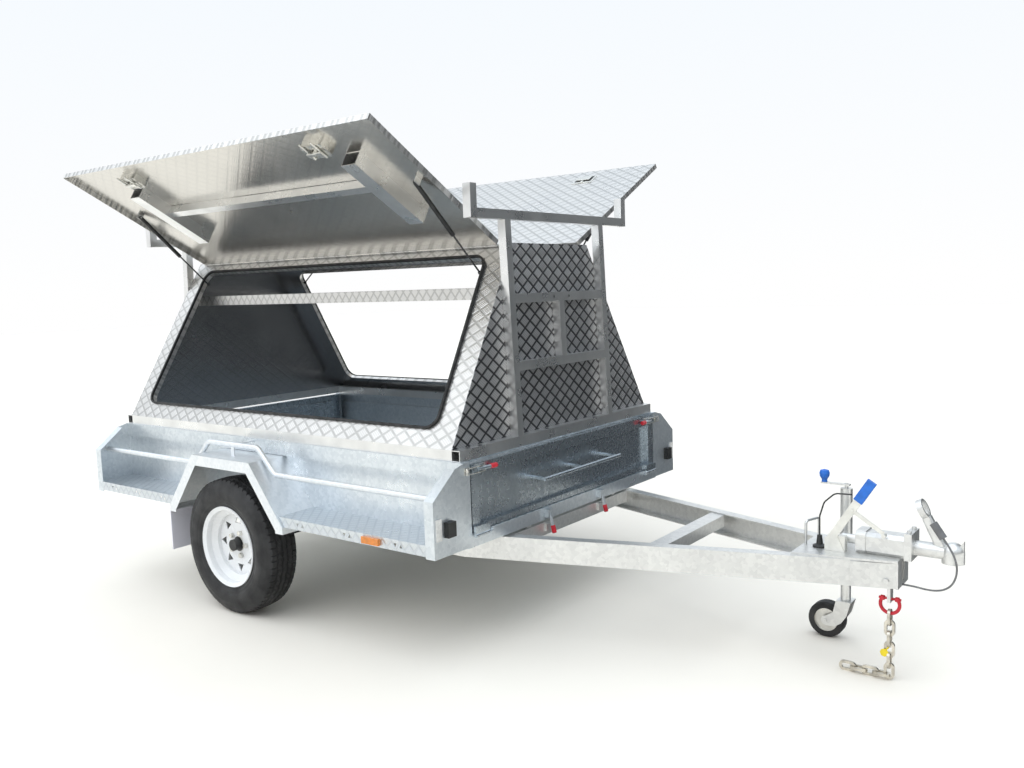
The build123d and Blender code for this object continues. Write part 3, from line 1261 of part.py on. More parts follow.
# Tilt latches: levers on the tub's front beam above their keepers on the cross beam
with BuildPart() as tilt_latches:
    for latch_y in TILT_LATCH_Y:
        block(
            (X_FRONT, X_FRONT + TILT_LATCH[0]),
            (latch_y - TILT_LATCH[1] / 2, latch_y + TILT_LATCH[1] / 2),
            (BEAM_TOP_Z - TILT_LATCH[2] - SEAT, BEAM_TOP_Z - MOVING_GAP),
        )
        lever_top = Vector(X_FRONT + TILT_LATCH[0] - GATE_PIN_R, latch_y, BEAM_TOP_Z - TILT_LATCH[2] / 2)
        rod(lever_top, lever_top + Vector(TILT_LATCH[0], 0, -TILT_LEVER), GATE_PIN_R)
give("tilt_latches", tilt_latches.part)

# Coupling: top plate, override housing, sliding shaft and ball head with its latch handle
X_HOUSING_REAR = nose_x - HOUSING_BACK
X_HOUSING = nose_x + HOUSING_FRONT
HOUSING_Y = HOUSING_WIDTH / 2
COLLAR = (26, 112, 108)
PLATE_Y = 78
PLATE_BACK = 360
PLATE_LAP = 30
HOUSING_LOW = DRAWBAR_TOP + TOP_PLATE
HOUSING_TOP = HOUSING_LOW + HOUSING_HEIGHT
HOUSING_EDGE = 14
BAND = (34, 4, 5)
BAND_AHEAD = 4
COLLAR_BOLT = (8, 34, 9)
HOOP = [
    # behind the nose, y, above the top plate
    (346, -30, 0),
    (346, -30, 95),
    (320, 45, 95),
    (320, 45, 0),
]
HOOP_R = 5
HOOP_BEND = 14
with BuildPart() as coupling_body:
    plate_rear = nose_x - PLATE_BACK
    rear_y = flange_tip(plate_rear) + PLATE_LAP
    plate_front = nose_x + NOSE_PLATE
    plate(
        [(plate_rear, -rear_y), (plate_front, -PLATE_Y), (plate_front, PLATE_Y), (plate_rear, rear_y)],
        Plane.XY.offset(DRAWBAR_TOP),
        TOP_PLATE,
    )
    with BuildSketch(ground_plane(X_HOUSING_REAR, 0, HOUSING_LOW)) as housing:
        Rectangle(HOUSING_WIDTH, HOUSING_HEIGHT, align=(Align.CENTER, Align.MIN))
        chamfer(housing.vertices().group_by(Axis.Z)[-1], HOUSING_EDGE)
    extrude(housing.sketch, amount=X_HOUSING - X_HOUSING_REAR, dir=(1, 0, 0))
    with BuildSketch(ground_plane(X_HOUSING_REAR + BAND_AHEAD, 0, HOUSING_LOW)) as band:
        band_width = HOUSING_WIDTH + 2 * BAND[1]
        Rectangle(band_width, HOUSING_HEIGHT + BAND[2], align=(Align.CENTER, Align.MIN))
        chamfer(band.vertices().group_by(Axis.Z)[-1], HOUSING_EDGE)
    extrude(band.sketch, amount=BAND[0], dir=(1, 0, 0))
    block(
        (X_HOUSING - COLLAR[0], X_HOUSING),
        (-COLLAR[1] / 2, COLLAR[1] / 2),
        (HOUSING_LOW, HOUSING_LOW + COLLAR[2] - TOP_PLATE),
    )
    bolt_x = X_HOUSING - COLLAR[0] / 2
    for bolt_y in (-COLLAR_BOLT[1], COLLAR_BOLT[1]):
        bolt_top = HOUSING_LOW + COLLAR[2] - TOP_PLATE + COLLAR_BOLT[2]
        rod((bolt_x, bolt_y, HOUSING_TOP), (bolt_x, bolt_y, bolt_top), COLLAR_BOLT[0])
    bore_ends = [(X_HOUSING_REAR - COLLAR[0], 0, COUPLING_Z), (X_HOUSING + COLLAR[0], 0, COUPLING_Z)]
    rod(*bore_ends, SHAFT_R + SEAT, mode=Mode.SUBTRACT)
    hoop_points = [(nose_x - back, y, HOUSING_LOW + up - SEAT) for back, y, up in HOOP]
    with BuildLine() as hoop_path:
        FilletPolyline(*hoop_points, radius=HOOP_BEND)
    with BuildSketch(Plane(origin=hoop_points[0], z_dir=(0, 0, 1))) as hoop_section:
        Circle(HOOP_R)
    sweep(hoop_section.sketch, path=hoop_path.line)
give("coupling_body", coupling_body.part)

X_NOSE = X_FRONT + NOSE_REACH
X_BALL = X_NOSE - HEAD_R
HANDLE_LEAN = 52
HANDLE_RISE = 106
HANDLE_R = 19
HANDLE_TIP_R = 16
RING_R = 36
RING_WIRE = 9
RING_DEPTH = 22
STUB = (60, 18)
HOOK = (16, 46)
with BuildPart() as coupling_head:
    rod((X_HOUSING_REAR, 0, COUPLING_Z), (X_BALL, 0, COUPLING_Z), SHAFT_R)
    rod((X_HOUSING_REAR - STUB[0], 0, COUPLING_Z), (X_HOUSING_REAR + STUB[1], 0, COUPLING_Z), STUB[1])
    with Locations((X_BALL, 0, COUPLING_Z)):
        Sphere(HEAD_R)
    skirt_low = COUPLING_Z - HEAD_R
    rod((X_BALL, 0, skirt_low), (X_BALL, 0, COUPLING_Z), HEAD_R)
    plate(
        [
            (X_BALL, COUPLING_Z),
            (X_NOSE - SHEET, COUPLING_Z),
            (X_NOSE - SHEET, COUPLING_Z + HOOK[1]),
            (X_BALL + HOOK[0], COUPLING_Z + HEAD_R / 2),
        ],
        side_plane(HOOK[0] / 2),
        HOOK[0],
    )
    rod((X_BALL, 0, skirt_low - HEAD_R), (X_BALL, 0, COUPLING_Z - SHAFT_R / 2), BALL_R, mode=Mode.SUBTRACT)
    handle_foot = Vector(X_BALL - HEAD_R, 0, COUPLING_Z + SHAFT_R / 2)
    handle_way = Vector(-HANDLE_LEAN, 0, HANDLE_RISE)
    handle_plane = Plane(origin=handle_foot, x_dir=(0, 1, 0), z_dir=handle_way)
    with BuildSketch(handle_plane) as handle_low:
        RectangleRounded(2 * HANDLE_R, 2 * HANDLE_R, HANDLE_R / 2)
    with BuildSketch(handle_plane.offset(handle_way.length)) as handle_high:
        RectangleRounded(2 * HANDLE_TIP_R, 2 * HANDLE_TIP_R, HANDLE_TIP_R / 2)
    loft([handle_low.sketch, handle_high.sketch])
    ring_mid = handle_foot + handle_way + handle_way.normalized() * (RING_R - RING_WIRE / 2)
    ring_way = Vector(HANDLE_RISE, 0, HANDLE_LEAN)
    ring_plane = Plane(origin=ring_mid, x_dir=(0, 1, 0), z_dir=ring_way).offset(-RING_DEPTH / 2)
    with BuildSketch(ring_plane) as ring_face:
        Circle(RING_R)
        Circle(RING_R - RING_WIRE, mode=Mode.SUBTRACT)
    extrude(ring_face.sketch, amount=RING_DEPTH, dir=ring_way)
give("coupling_head", coupling_head.part)

# Handbrake lever with its stay and grip, on the right of the coupling
LEVER_FOOT = (248, 500)
LEVER_TOP = (91, 744)
LEVER_WIDTH = 30
LEVER_THICK = 8
GRIP_LENGTH = 92
GRIP_EDGE = 3
STAY_FOOT = (47, 556)
STAY_DROP = 42
BRACKET = (60, 30)
with BuildPart() as handbrake:
    lever_foot = Vector(nose_x - LEVER_FOOT[0], LEVER_Y, LEVER_FOOT[1])
    lever_top = Vector(nose_x - LEVER_TOP[0], LEVER_Y, LEVER_TOP[1])
    lever_way = (lever_top - lever_foot).normalized()
    stay_foot = Vector(nose_x - STAY_FOOT[0], LEVER_Y, STAY_FOOT[1])
    grip_low = lever_top - lever_way * GRIP_LENGTH
    grip_end = lever_top + lever_way * GRIP_EDGE
    stay_join = grip_low - lever_way * STAY_DROP
    lever_bars = [
        # start, end, width, thickness
        (lever_foot, lever_top, LEVER_WIDTH, LEVER_THICK),
        (grip_low, grip_end, LEVER_WIDTH + 2 * GRIP_EDGE, LEVER_THICK + 2 * GRIP_EDGE),
        (stay_foot, stay_join, LEVER_WIDTH / 2, LEVER_THICK / 2),
    ]
    for bar_start, bar_end, bar_width, bar_thick in lever_bars:
        way = bar_end - bar_start
        with BuildSketch(Plane(origin=bar_start, x_dir=(0, 1, 0), z_dir=way)) as bar_face:
            Rectangle(bar_thick, bar_width)
        extrude(bar_face.sketch, amount=way.length, dir=way)
    pin_z = stay_foot.Z - LEVER_THICK
    stay_pin = [(stay_foot.X, -HOUSING_Y - SEAT, pin_z), (stay_foot.X, LEVER_Y - LEVER_THICK, pin_z)]
    rod(*stay_pin, LEVER_THICK)
    join_side = Vector(0, LEVER_THICK, 0)
    rod(stay_join - join_side, stay_join + join_side, LEVER_THICK)
    plate(
        [
            (lever_foot.X - BRACKET[1] / 2, HOUSING_LOW + SEAT),
            (lever_foot.X + BRACKET[0], HOUSING_LOW + SEAT),
            (lever_foot.X + BRACKET[1], lever_foot.Z + LEVER_WIDTH),
            (lever_foot.X - BRACKET[1] / 2, lever_foot.Z + LEVER_WIDTH / 2),
        ],
        side_plane(LEVER_Y + LEVER_THICK / 2),
        LEVER_THICK,
    )
    block(
        (lever_foot.X, lever_foot.X + BRACKET[0]),
        (LEVER_Y, LEVER_Y + BRACKET[1]),
        (HOUSING_LOW + SEAT, HOUSING_LOW + LEVER_THICK),
    )
    block(
        (lever_foot.X + BRACKET[1], lever_foot.X + BRACKET[0]),
        (LEVER_Y, LEVER_Y + BRACKET[1]),
        (HOUSING_LOW + SEAT, HOUSING_LOW + BRACKET[0]),
    )
give("handbrake", handbrake.part)

# Handbrake cable in its rubber boot, held by the top plate and the lever
CABLE_R = 3
BOOT_R = (26, 13, 9)
BOOT_HEIGHT = 46
BOOT_LIP = 6
CABLE_ROUTE = [
    # behind the nose, y, z
    (292, -30, 505),
    (292, -32, 585),
    (272, -40, 645),
    (228, -50, 686),
    (165, -56, 690),
]
CABLE_BEND = 40
with BuildPart() as brake_cable:
    cable_points = [Vector(nose_x - back, y, z) for back, y, z in CABLE_ROUTE]
    with BuildLine() as cable_path:
        FilletPolyline(*cable_points, radius=CABLE_BEND)
    cable_plane = Plane(origin=cable_points[0], z_dir=cable_points[1] - cable_points[0])
    with BuildSketch(cable_plane) as cable_section:
        Circle(CABLE_R)
    sweep(cable_section.sketch, path=cable_path.line)
    boot_low = HOUSING_LOW + SEAT
    boot_line = [
        # radius, up
        (0, boot_low),
        (BOOT_R[0], boot_low),
        (BOOT_R[0], boot_low + BOOT_LIP),
        (BOOT_R[1], boot_low + 2 * BOOT_LIP),
        (BOOT_R[2], boot_low + BOOT_HEIGHT),
        (0, boot_low + BOOT_HEIGHT),
    ]
    boot_x, boot_y = cable_points[0].X, cable_points[0].Y
    with BuildSketch(Plane(origin=(boot_x, boot_y, 0), x_dir=(1, 0, 0), z_dir=(0, -1, 0))) as boot_face:
        Polygon(*boot_line, align=None)
    revolve(boot_face.sketch, axis=Axis((boot_x, boot_y, 0), (0, 0, 1)))
give("brake_cable", brake_cable.part)

# Jockey stand: clamped tube with its crank, telescoping leg, castor fork and wheel
X_JOCKEY = X_FRONT + JOCKEY_AHEAD
JOCKEY_POINT = Vector(X_JOCKEY, JOCKEY_Y, 0)
CLAMP_HEIGHT = 70
KNOB_LINE = [
    # radius, above the crank arm
    (0, 0),
    (12, 0),
    (11, 14),
    (19, 27),
    (21, 40),
    (17, 52),
    (0, 57),
]
CRANK_R = 7
CRANK_WIDTH = 20
with BuildPart() as jockey_mount:
    tube_low = JOCKEY_POINT + Vector(0, 0, JOCKEY_TUBE_LOW)
    tube_top = JOCKEY_POINT + Vector(0, 0, JOCKEY_TOP_Z)
    rod(tube_low, tube_top, JOCKEY_TUBE_R)
    rod(tube_low, tube_top - Vector(0, 0, 2 * JOCKEY_WALL), JOCKEY_TUBE_R - JOCKEY_WALL, mode=Mode.SUBTRACT)
    crank_z = JOCKEY_TOP_Z + 2 * CRANK_R
    crank_end = Vector(X_JOCKEY - CRANK_THROW, JOCKEY_Y, crank_z)
    rod(tube_top - Vector(0, 0, JOCKEY_WALL), (X_JOCKEY, JOCKEY_Y, crank_z + CRANK_R), CRANK_R)
    block(
        (crank_end.X - 2 * CRANK_R, X_JOCKEY + 2 * CRANK_R),
        (JOCKEY_Y - CRANK_WIDTH / 2, JOCKEY_Y + CRANK_WIDTH / 2),
        (crank_z - CRANK_R / 2, crank_z + CRANK_R / 2),
    )
    knob_plane = Plane(origin=crank_end, x_dir=(1, 0, 0), z_dir=(0, -1, 0))
    with BuildSketch(knob_plane) as knob_face:
        Polygon(*KNOB_LINE, align=None)
    revolve(knob_face.sketch, axis=Axis(crank_end, (0, 0, 1)))
    drawbar_face = DRAWBAR_SPREAD - JOCKEY_AHEAD * DRAWBAR_SLOPE
    clamp_mid = (DRAWBAR_TOP + DRAWBAR_LOW) / 2
    clamp_x = (X_JOCKEY - CLAMP_HEIGHT / 2, X_JOCKEY + CLAMP_HEIGHT / 2)
    face_rear = drawbar_face + CLAMP_HEIGHT / 2 * DRAWBAR_SLOPE
    face_front = drawbar_face - CLAMP_HEIGHT / 2 * DRAWBAR_SLOPE
    plate(
        [
            (clamp_x[0], face_rear + SEAT),
            (clamp_x[1], face_front + SEAT),
            (clamp_x[1], JOCKEY_Y - JOCKEY_TUBE_R + JOCKEY_WALL / 2),
            (clamp_x[0], JOCKEY_Y - JOCKEY_TUBE_R + JOCKEY_WALL / 2),
        ],
        Plane.XY.offset(clamp_mid - CLAMP_HEIGHT / 2),
        CLAMP_HEIGHT,
    )
give("jockey_mount", jockey_mount.part)

with BuildPart() as jockey_leg:
    leg_top = JOCKEY_TUBE_LOW + LEG_LAP
    rod(JOCKEY_POINT + Vector(0, 0, FORK_TOP_Z + SEAT), JOCKEY_POINT + Vector(0, 0, leg_top), JOCKEY_LEG_R)
give("jockey_leg", jockey_leg.part)

FORK_CHEEK = 5
CROWN_HALF = 30
CHEEK_LINE = [
    # ahead of the jockey axle, above it
    (32, 42),
    (4, 22),
    (-12, 16),
    (-18, 2),
    (-12, -14),
    (4, -20),
    (40, -18),
    (66, 0),
    (88, 34),
]
FORK_IN = JOCKEY_WHEEL_WIDTH / 2 + MOVING_GAP
JOCKEY_AXLE_R = 8
DISH_R = 48
DISH_DEPTH = 8
BOSS_R = 15
JOCKEY_AXLE = Vector(X_JOCKEY - JOCKEY_TRAIL, JOCKEY_Y, JOCKEY_WHEEL_R)
with BuildPart() as jockey_fork:
    crown_low = FORK_TOP_Z - FORK_CHEEK
    crown = (X_JOCKEY - CROWN_HALF, X_JOCKEY + CROWN_HALF)
    block(crown, (JOCKEY_Y - FORK_IN - FORK_CHEEK, JOCKEY_Y + FORK_IN + FORK_CHEEK), (crown_low, FORK_TOP_Z))
    cheek_outline = [(JOCKEY_AXLE.X + ahead, JOCKEY_WHEEL_R + up) for ahead, up in CHEEK_LINE]
    cheek_outline += [(crown[1], FORK_TOP_Z), (crown[0], FORK_TOP_Z)]
    for cheek_y in (JOCKEY_Y - FORK_IN, JOCKEY_Y + FORK_IN + FORK_CHEEK):
        plate(cheek_outline, side_plane(cheek_y), FORK_CHEEK)
    axle_reach = Vector(0, FORK_IN + 2 * FORK_CHEEK, 0)
    rod(JOCKEY_AXLE - axle_reach, JOCKEY_AXLE + axle_reach, JOCKEY_AXLE_R)
give("jockey_fork", jockey_fork.part)

with BuildPart() as jockey_wheel:
    wheel_half = Vector(0, JOCKEY_WHEEL_WIDTH / 2, 0)
    rod(JOCKEY_AXLE - wheel_half, JOCKEY_AXLE + wheel_half, JOCKEY_WHEEL_R)
    fillet(jockey_wheel.edges().filter_by(GeomType.CIRCLE), JOCKEY_AXLE_R)
    dish_depth = Vector(0, DISH_DEPTH, 0)
    for end in (JOCKEY_AXLE - wheel_half, JOCKEY_AXLE + wheel_half):
        rod(end - dish_depth, end + dish_depth, DISH_R, mode=Mode.SUBTRACT)
    rod(JOCKEY_AXLE - wheel_half, JOCKEY_AXLE + wheel_half, BOSS_R)
    rod(JOCKEY_AXLE - wheel_half, JOCKEY_AXLE + wheel_half, JOCKEY_AXLE_R + SEAT, mode=Mode.SUBTRACT)
give("jockey_wheel", jockey_wheel.part)

# Safety chain: links from the shackle down to the ground and along it
SHACKLE_BACK = 25
SHACKLE_Y = -48
CHAIN_DROP = 6
CHAIN_LIE = 4
LINK_CLEAR = 1.9
LUG_PLATE = 12
X_SHACKLE = nose_x - SHACKLE_BACK
CHAIN_LOW = Vector(X_SHACKLE, SHACKLE_Y, LINK_LENGTH / 2 + LINK_CLEAR)
LINK_TOP_Z = CHAIN_LOW.Z + (CHAIN_DROP - 1) * LINK_PITCH + LINK_LENGTH / 2 - LINK_WIRE
BOW_R = 34
BOW_WIRE = 13
BOW_END = 40
BOW_Z = LINK_TOP_Z - SEAT - BOW_WIRE / 2 + BOW_R


def chain_link(centre, along, face):
    """A flat link centred on a point, long in one direction and facing another."""
    plane = Plane(origin=centre, x_dir=along, z_dir=face)
    with BuildSketch(plane.offset(-LINK_WIRE / 2)) as link:
        SlotOverall(LINK_LENGTH, LINK_WIDTH)
        SlotOverall(LINK_LENGTH - 2 * LINK_WIRE, LINK_WIDTH - 2 * LINK_WIRE, mode=Mode.SUBTRACT)
    extrude(link.sketch, amount=LINK_WIRE, dir=plane.z_dir)


with BuildPart() as safety_chain:
    for index in range(CHAIN_DROP):
        face = (0, 1, 0) if index % 2 == 0 else (1, 0, 0)
        chain_link(CHAIN_LOW + Vector(0, 0, index * LINK_PITCH), (0, 0, 1), face)
    for index in range(1, CHAIN_LIE + 1):
        face = (0, 0, 1) if index % 2 else (0, 1, 0)
        back = (LINK_LENGTH - LINK_WIRE) / 2 + (index - 1) * LINK_PITCH
        chain_link(Vector(X_SHACKLE - back, SHACKLE_Y, LINK_WIDTH / 2), (1, 0, 0), face)
give("safety_chain", safety_chain.part)

with BuildPart() as shackle:
    pin_z = BOW_Z + BOW_R * math.sin(math.radians(BOW_END))
    ear_x = BOW_R * math.cos(math.radians(BOW_END))
    bow_plane = Plane(origin=(X_SHACKLE, SHACKLE_Y, BOW_Z), x_dir=(1, 0, 0), z_dir=(0, -1, 0))
    with BuildLine(bow_plane) as bow_path:
        CenterArc((0, 0), BOW_R, BOW_END, -(180 + 2 * BOW_END))
    with BuildSketch(Plane(origin=bow_path.line @ 0, z_dir=bow_path.line % 0)) as bow_section:
        Circle(BOW_WIRE / 2)
    sweep(bow_section.sketch, path=bow_path.line)
    for side in (-1, 1):
        ear = [(X_SHACKLE + side * (ear_x + way * BOW_WIRE / 2), SHACKLE_Y, pin_z) for way in (-1, 1)]
        rod(*ear, BOW_WIRE - LINK_PLAY)
    pin_half = ear_x + BOW_WIRE
    rod((X_SHACKLE - pin_half, SHACKLE_Y, pin_z), (X_SHACKLE + pin_half, SHACKLE_Y, pin_z), LINK_WIRE / 2)
    block(
        (X_SHACKLE - LUG_PLATE / 2, X_SHACKLE + LUG_PLATE / 2),
        (SHACKLE_Y - LINK_WIDTH / 2, SHACKLE_Y + LINK_WIDTH / 2),
        (pin_z - LUG_PLATE, DRAWBAR_LOW),
    )
give("shackle", shackle.part)

# Lighting lead from the nose to its plug, which hangs on the latch handle
PLUG_R = 14
PLUG_LENGTH = 62
BEND_SHARE = 0.45
lead_points = [Vector(nose_x + ahead, y, z) for ahead, y, z in LEAD_ROUTE]
lead_radii = []
for before, here, after in zip(lead_points, lead_points[1:], lead_points[2:]):
    turn = math.radians((here - before).get_angle(after - here))
    run = min((here - before).length, (after - here).length)
    lead_radii.append(BEND_SHARE * run / math.tan(turn / 2))
print("lead radii", [round(radius) for radius in lead_radii])
with BuildPart() as lighting_lead:
    with BuildLine() as lead_path:
        FilletPolyline(*lead_points, radius=lead_radii)
    with BuildSketch(Plane(origin=lead_points[0], z_dir=lead_points[1] - lead_points[0])) as lead_section:
        Circle(LEAD_R)
    sweep(lead_section.sketch, path=lead_path.line)
lead_length = sum(edge.length for edge in lead_path.edges())
lead_ratio = lighting_lead.part.volume / (math.pi * LEAD_R**2 * lead_length)
print("lead length", round(lead_length), "volume ratio", round(lead_ratio, 4))
give("lighting_lead", lighting_lead.part)

with BuildPart() as lead_plug:
    plug_way = (lead_points[-1] - lead_points[-2]).normalized()
    rod(lead_points[-1], lead_points[-1] + plug_way * PLUG_LENGTH, PLUG_R)
give("lead_plug", lead_plug.part)
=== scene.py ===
import math

import bmesh
import bpy
from mathutils import Matrix, Vector


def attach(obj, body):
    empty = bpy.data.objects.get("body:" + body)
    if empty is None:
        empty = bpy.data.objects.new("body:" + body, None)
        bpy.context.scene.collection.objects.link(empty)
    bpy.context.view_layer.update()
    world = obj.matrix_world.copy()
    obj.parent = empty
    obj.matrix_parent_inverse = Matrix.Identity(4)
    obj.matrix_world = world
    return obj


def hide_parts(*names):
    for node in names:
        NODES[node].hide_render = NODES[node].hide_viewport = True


# Canopy trailer: looks, small fittings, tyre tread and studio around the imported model.
# Metres. +X is forward (to the coupling), +Y is left, +Z is up.

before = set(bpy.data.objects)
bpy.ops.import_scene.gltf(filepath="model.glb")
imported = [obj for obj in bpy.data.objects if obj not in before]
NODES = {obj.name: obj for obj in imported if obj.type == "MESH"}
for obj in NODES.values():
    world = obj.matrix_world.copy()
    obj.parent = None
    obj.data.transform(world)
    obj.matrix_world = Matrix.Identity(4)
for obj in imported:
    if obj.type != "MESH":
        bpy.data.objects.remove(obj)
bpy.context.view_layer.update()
SIDES = [("right", -1), ("left", 1)]
AXES = (Vector((1, 0, 0)), Vector((0, 1, 0)), Vector((0, 0, 1)))

# Stations of the model
TUB_LENGTH, DRAWBAR_LENGTH = 2.462, 1.440
X_FRONT = 0.4345
X_REAR = X_FRONT - TUB_LENGTH
X_DRAWBAR_NOSE = X_FRONT + DRAWBAR_LENGTH
X_JOCKEY = X_DRAWBAR_NOSE - 0.280
CHAIN_X, CHAIN_Y = X_DRAWBAR_NOSE - 0.025, -0.048
WHEEL_X, WHEEL_Y, WHEEL_Z = -0.8965, 0.890, 0.325

# Slopes of the open doors and of the canopy's sides
OPEN_ANGLE = math.radians(29.7)
SIDE_ANGLE = math.atan2(830, 480)
OPEN_OUT = (math.cos(OPEN_ANGLE), math.sin(OPEN_ANGLE))
SIDE_UP = (math.cos(SIDE_ANGLE), math.sin(SIDE_ANGLE))

# Camera, solved from the photograph
CAMERA_PLACE = (2.7435, -3.467, 1.508)
CAMERA_YAW = math.radians(37.49)
CAMERA_PITCH = math.radians(-6.17)
CAMERA_ROLL = math.radians(-1.87)
CAMERA_LENS = 32.0
CAMERA_SENSOR = 36
CAMERA_REACH = 200


def add_camera():
    """The photograph's camera."""
    ahead = Vector(
        (
            -math.sin(CAMERA_YAW) * math.cos(CAMERA_PITCH),
            math.cos(CAMERA_YAW) * math.cos(CAMERA_PITCH),
            math.sin(CAMERA_PITCH),
        )
    )
    level = Vector((math.cos(CAMERA_YAW), math.sin(CAMERA_YAW), 0))
    upright = level.cross(ahead)
    right = level * math.cos(CAMERA_ROLL) + upright * math.sin(CAMERA_ROLL)
    up = upright * math.cos(CAMERA_ROLL) - level * math.sin(CAMERA_ROLL)
    camera = bpy.data.objects.new("camera", bpy.data.cameras.new("camera"))
    turn = Matrix((right, up, -ahead)).transposed().to_4x4()
    camera.matrix_world = Matrix.Translation(CAMERA_PLACE) @ turn
    camera.data.lens = CAMERA_LENS
    camera.data.sensor_width = CAMERA_SENSOR
    camera.data.clip_end = CAMERA_REACH
    bpy.context.collection.objects.link(camera)
    bpy.context.scene.camera = camera


add_camera()


class Shader:
    """A node material on one Principled shader, with short calls for its nodes."""

    def __init__(self, name, color=(0.5, 0.5, 0.5), metallic=0.0, roughness=0.5):
        self.material = bpy.data.materials.new(name)
        self.material.use_nodes = True
        self.tree = self.material.node_tree
        self.principled = self.tree.nodes["Principled BSDF"]
        self.set("Base Color", (*color, 1))
        self.set("Metallic", metallic)
        self.set("Roughness", roughness)

    def set(self, socket, value):
        self.principled.inputs[socket].default_value = value

    def drive(self, socket, output):
        self.tree.links.new(output, self.principled.inputs[socket])

    def node(self, kind, inputs=(), **settings):
        """A new node, with a value or a link on each named input."""
        made = self.tree.nodes.new(kind)
        for key, value in settings.items():
            setattr(made, key, value)
        for key, value in dict(inputs).items():
            if isinstance(value, bpy.types.NodeSocket):
                self.tree.links.new(value, made.inputs[key])
            else:
                made.inputs[key].default_value = value
        return made

    def math(self, operation, a, b=0.0):
        return self.node("ShaderNodeMath", {0: a, 1: b}, operation=operation).outputs[0]

    def weighted(self, first, *others):
        """The sum of values, each given with its weight."""
        total = self.math("MULTIPLY", *first)
        for term in others:
            total = self.math("ADD", total, self.math("MULTIPLY", *term))
        return total

    def place(self):
        return self.node("ShaderNodeTexCoord").outputs["Object"]

    def noise(self, scale, detail, vector=None):
        inputs = {"Scale": scale, "Detail": detail, "Vector": vector or self.place()}
        return self.node("ShaderNodeTexNoise", inputs).outputs[0]

    def cells(self, scale):
        inputs = {"Scale": scale, "Vector": self.place()}
        return self.node("ShaderNodeTexVoronoi", inputs).outputs["Color"]

    def remap(self, value, low, high, start, end):
        """Low at the start of a span of values, high at its end."""
        inputs = {"Value": value, "From Min": start, "From Max": end, "To Min": low, "To Max": high}
        return self.node("ShaderNodeMapRange", inputs).outputs[0]

    def blend(self, factor, a, b):
        """From colour a to colour b."""
        inputs = {0: factor, 6: (*a, 1), 7: (*b, 1)}
        return self.node("ShaderNodeMix", inputs, data_type="RGBA").outputs[2]

    def bump(self, height, distance, strength):
        inputs = {"Height": height, "Distance": distance, "Strength": strength}
        self.drive("Normal", self.node("ShaderNodeBump", inputs).outputs[0])


# Zinc: sizes per metre, the run marks' stretch, the share of each in the tone, depth of the skin
SPANGLE_SCALE, CLOUD_SCALE, SKIN_SCALE = 70, 2.2, 90
RUN_STRETCH = (9, 9, 1.2)
SPANGLE_SHARE, CLOUD_SHARE, RUN_SHARE = 0.22, 0.5, 0.35
ZINC_SPAN = (0.3, 0.8)
SKIN_DEPTH, SKIN_STRENGTH = 0.0003, 0.22

# Tread plates: half widths where a raised pad ends, bars on a pad, share of each in the tone; the
# tone paints shade into the grooves and light onto the pads and bars
PAD_SPAN = (0.34, 0.45)
BARS = 5
BAR_SPAN = (-0.5, 0.6)
PAD_SHARE, BAR_SHARE, WEAR_SHARE = 0.62, 0.2, 0.3
TONE_SPAN = (0.1, 0.95)
WEAR_SCALE = 3.5
BAR_HEIGHT, PLATE_STRENGTH = 0.6, 0.9

# Patches of all plain finishes: span of the noise that is used, roughness of dull and glossy ones
NOISE_SPAN = (0.3, 0.7)
DULL, GLOSSY, PLATE_GLOSSY = 1.25, 0.8, 0.85
GRAIN_STRENGTH = 0.5

# Lamp lens: ribs in radians per metre, depth and strength of their bump, size of its patches
RIB_RATE, RIB_DEPTH, RIB_STRENGTH = 1400.0, 0.0008, 0.4
LENS_COAT, LENS_SCALE, LENS_DARK = 0.6, 60, 0.75


def galvanised(name, light, dark, roughness=(0.24, 0.40), metallic=0.82):
    """Hot-dip zinc: crystal spangle, slow cloudy patches, run marks and a faintly rough skin."""
    shader = Shader(name, metallic=metallic)
    spangle = shader.node("ShaderNodeSeparateColor", {0: shader.cells(SPANGLE_SCALE)}).outputs[0]
    cloud = shader.noise(CLOUD_SCALE, 4)
    stretched = shader.node("ShaderNodeMapping", {0: shader.place(), 3: RUN_STRETCH}).outputs[0]
    runs = shader.noise(1.0, 3, stretched)
    tone = shader.weighted((spangle, SPANGLE_SHARE), (cloud, CLOUD_SHARE), (runs, RUN_SHARE))
    shader.drive("Base Color", shader.blend(shader.remap(tone, 0, 1, *ZINC_SPAN), dark, light))
    shader.drive("Roughness", shader.remap(tone, roughness[1], roughness[0], *ZINC_SPAN))
    shader.bump(shader.noise(SKIN_SCALE, 3), SKIN_DEPTH, SKIN_STRENGTH)
    return shader.material


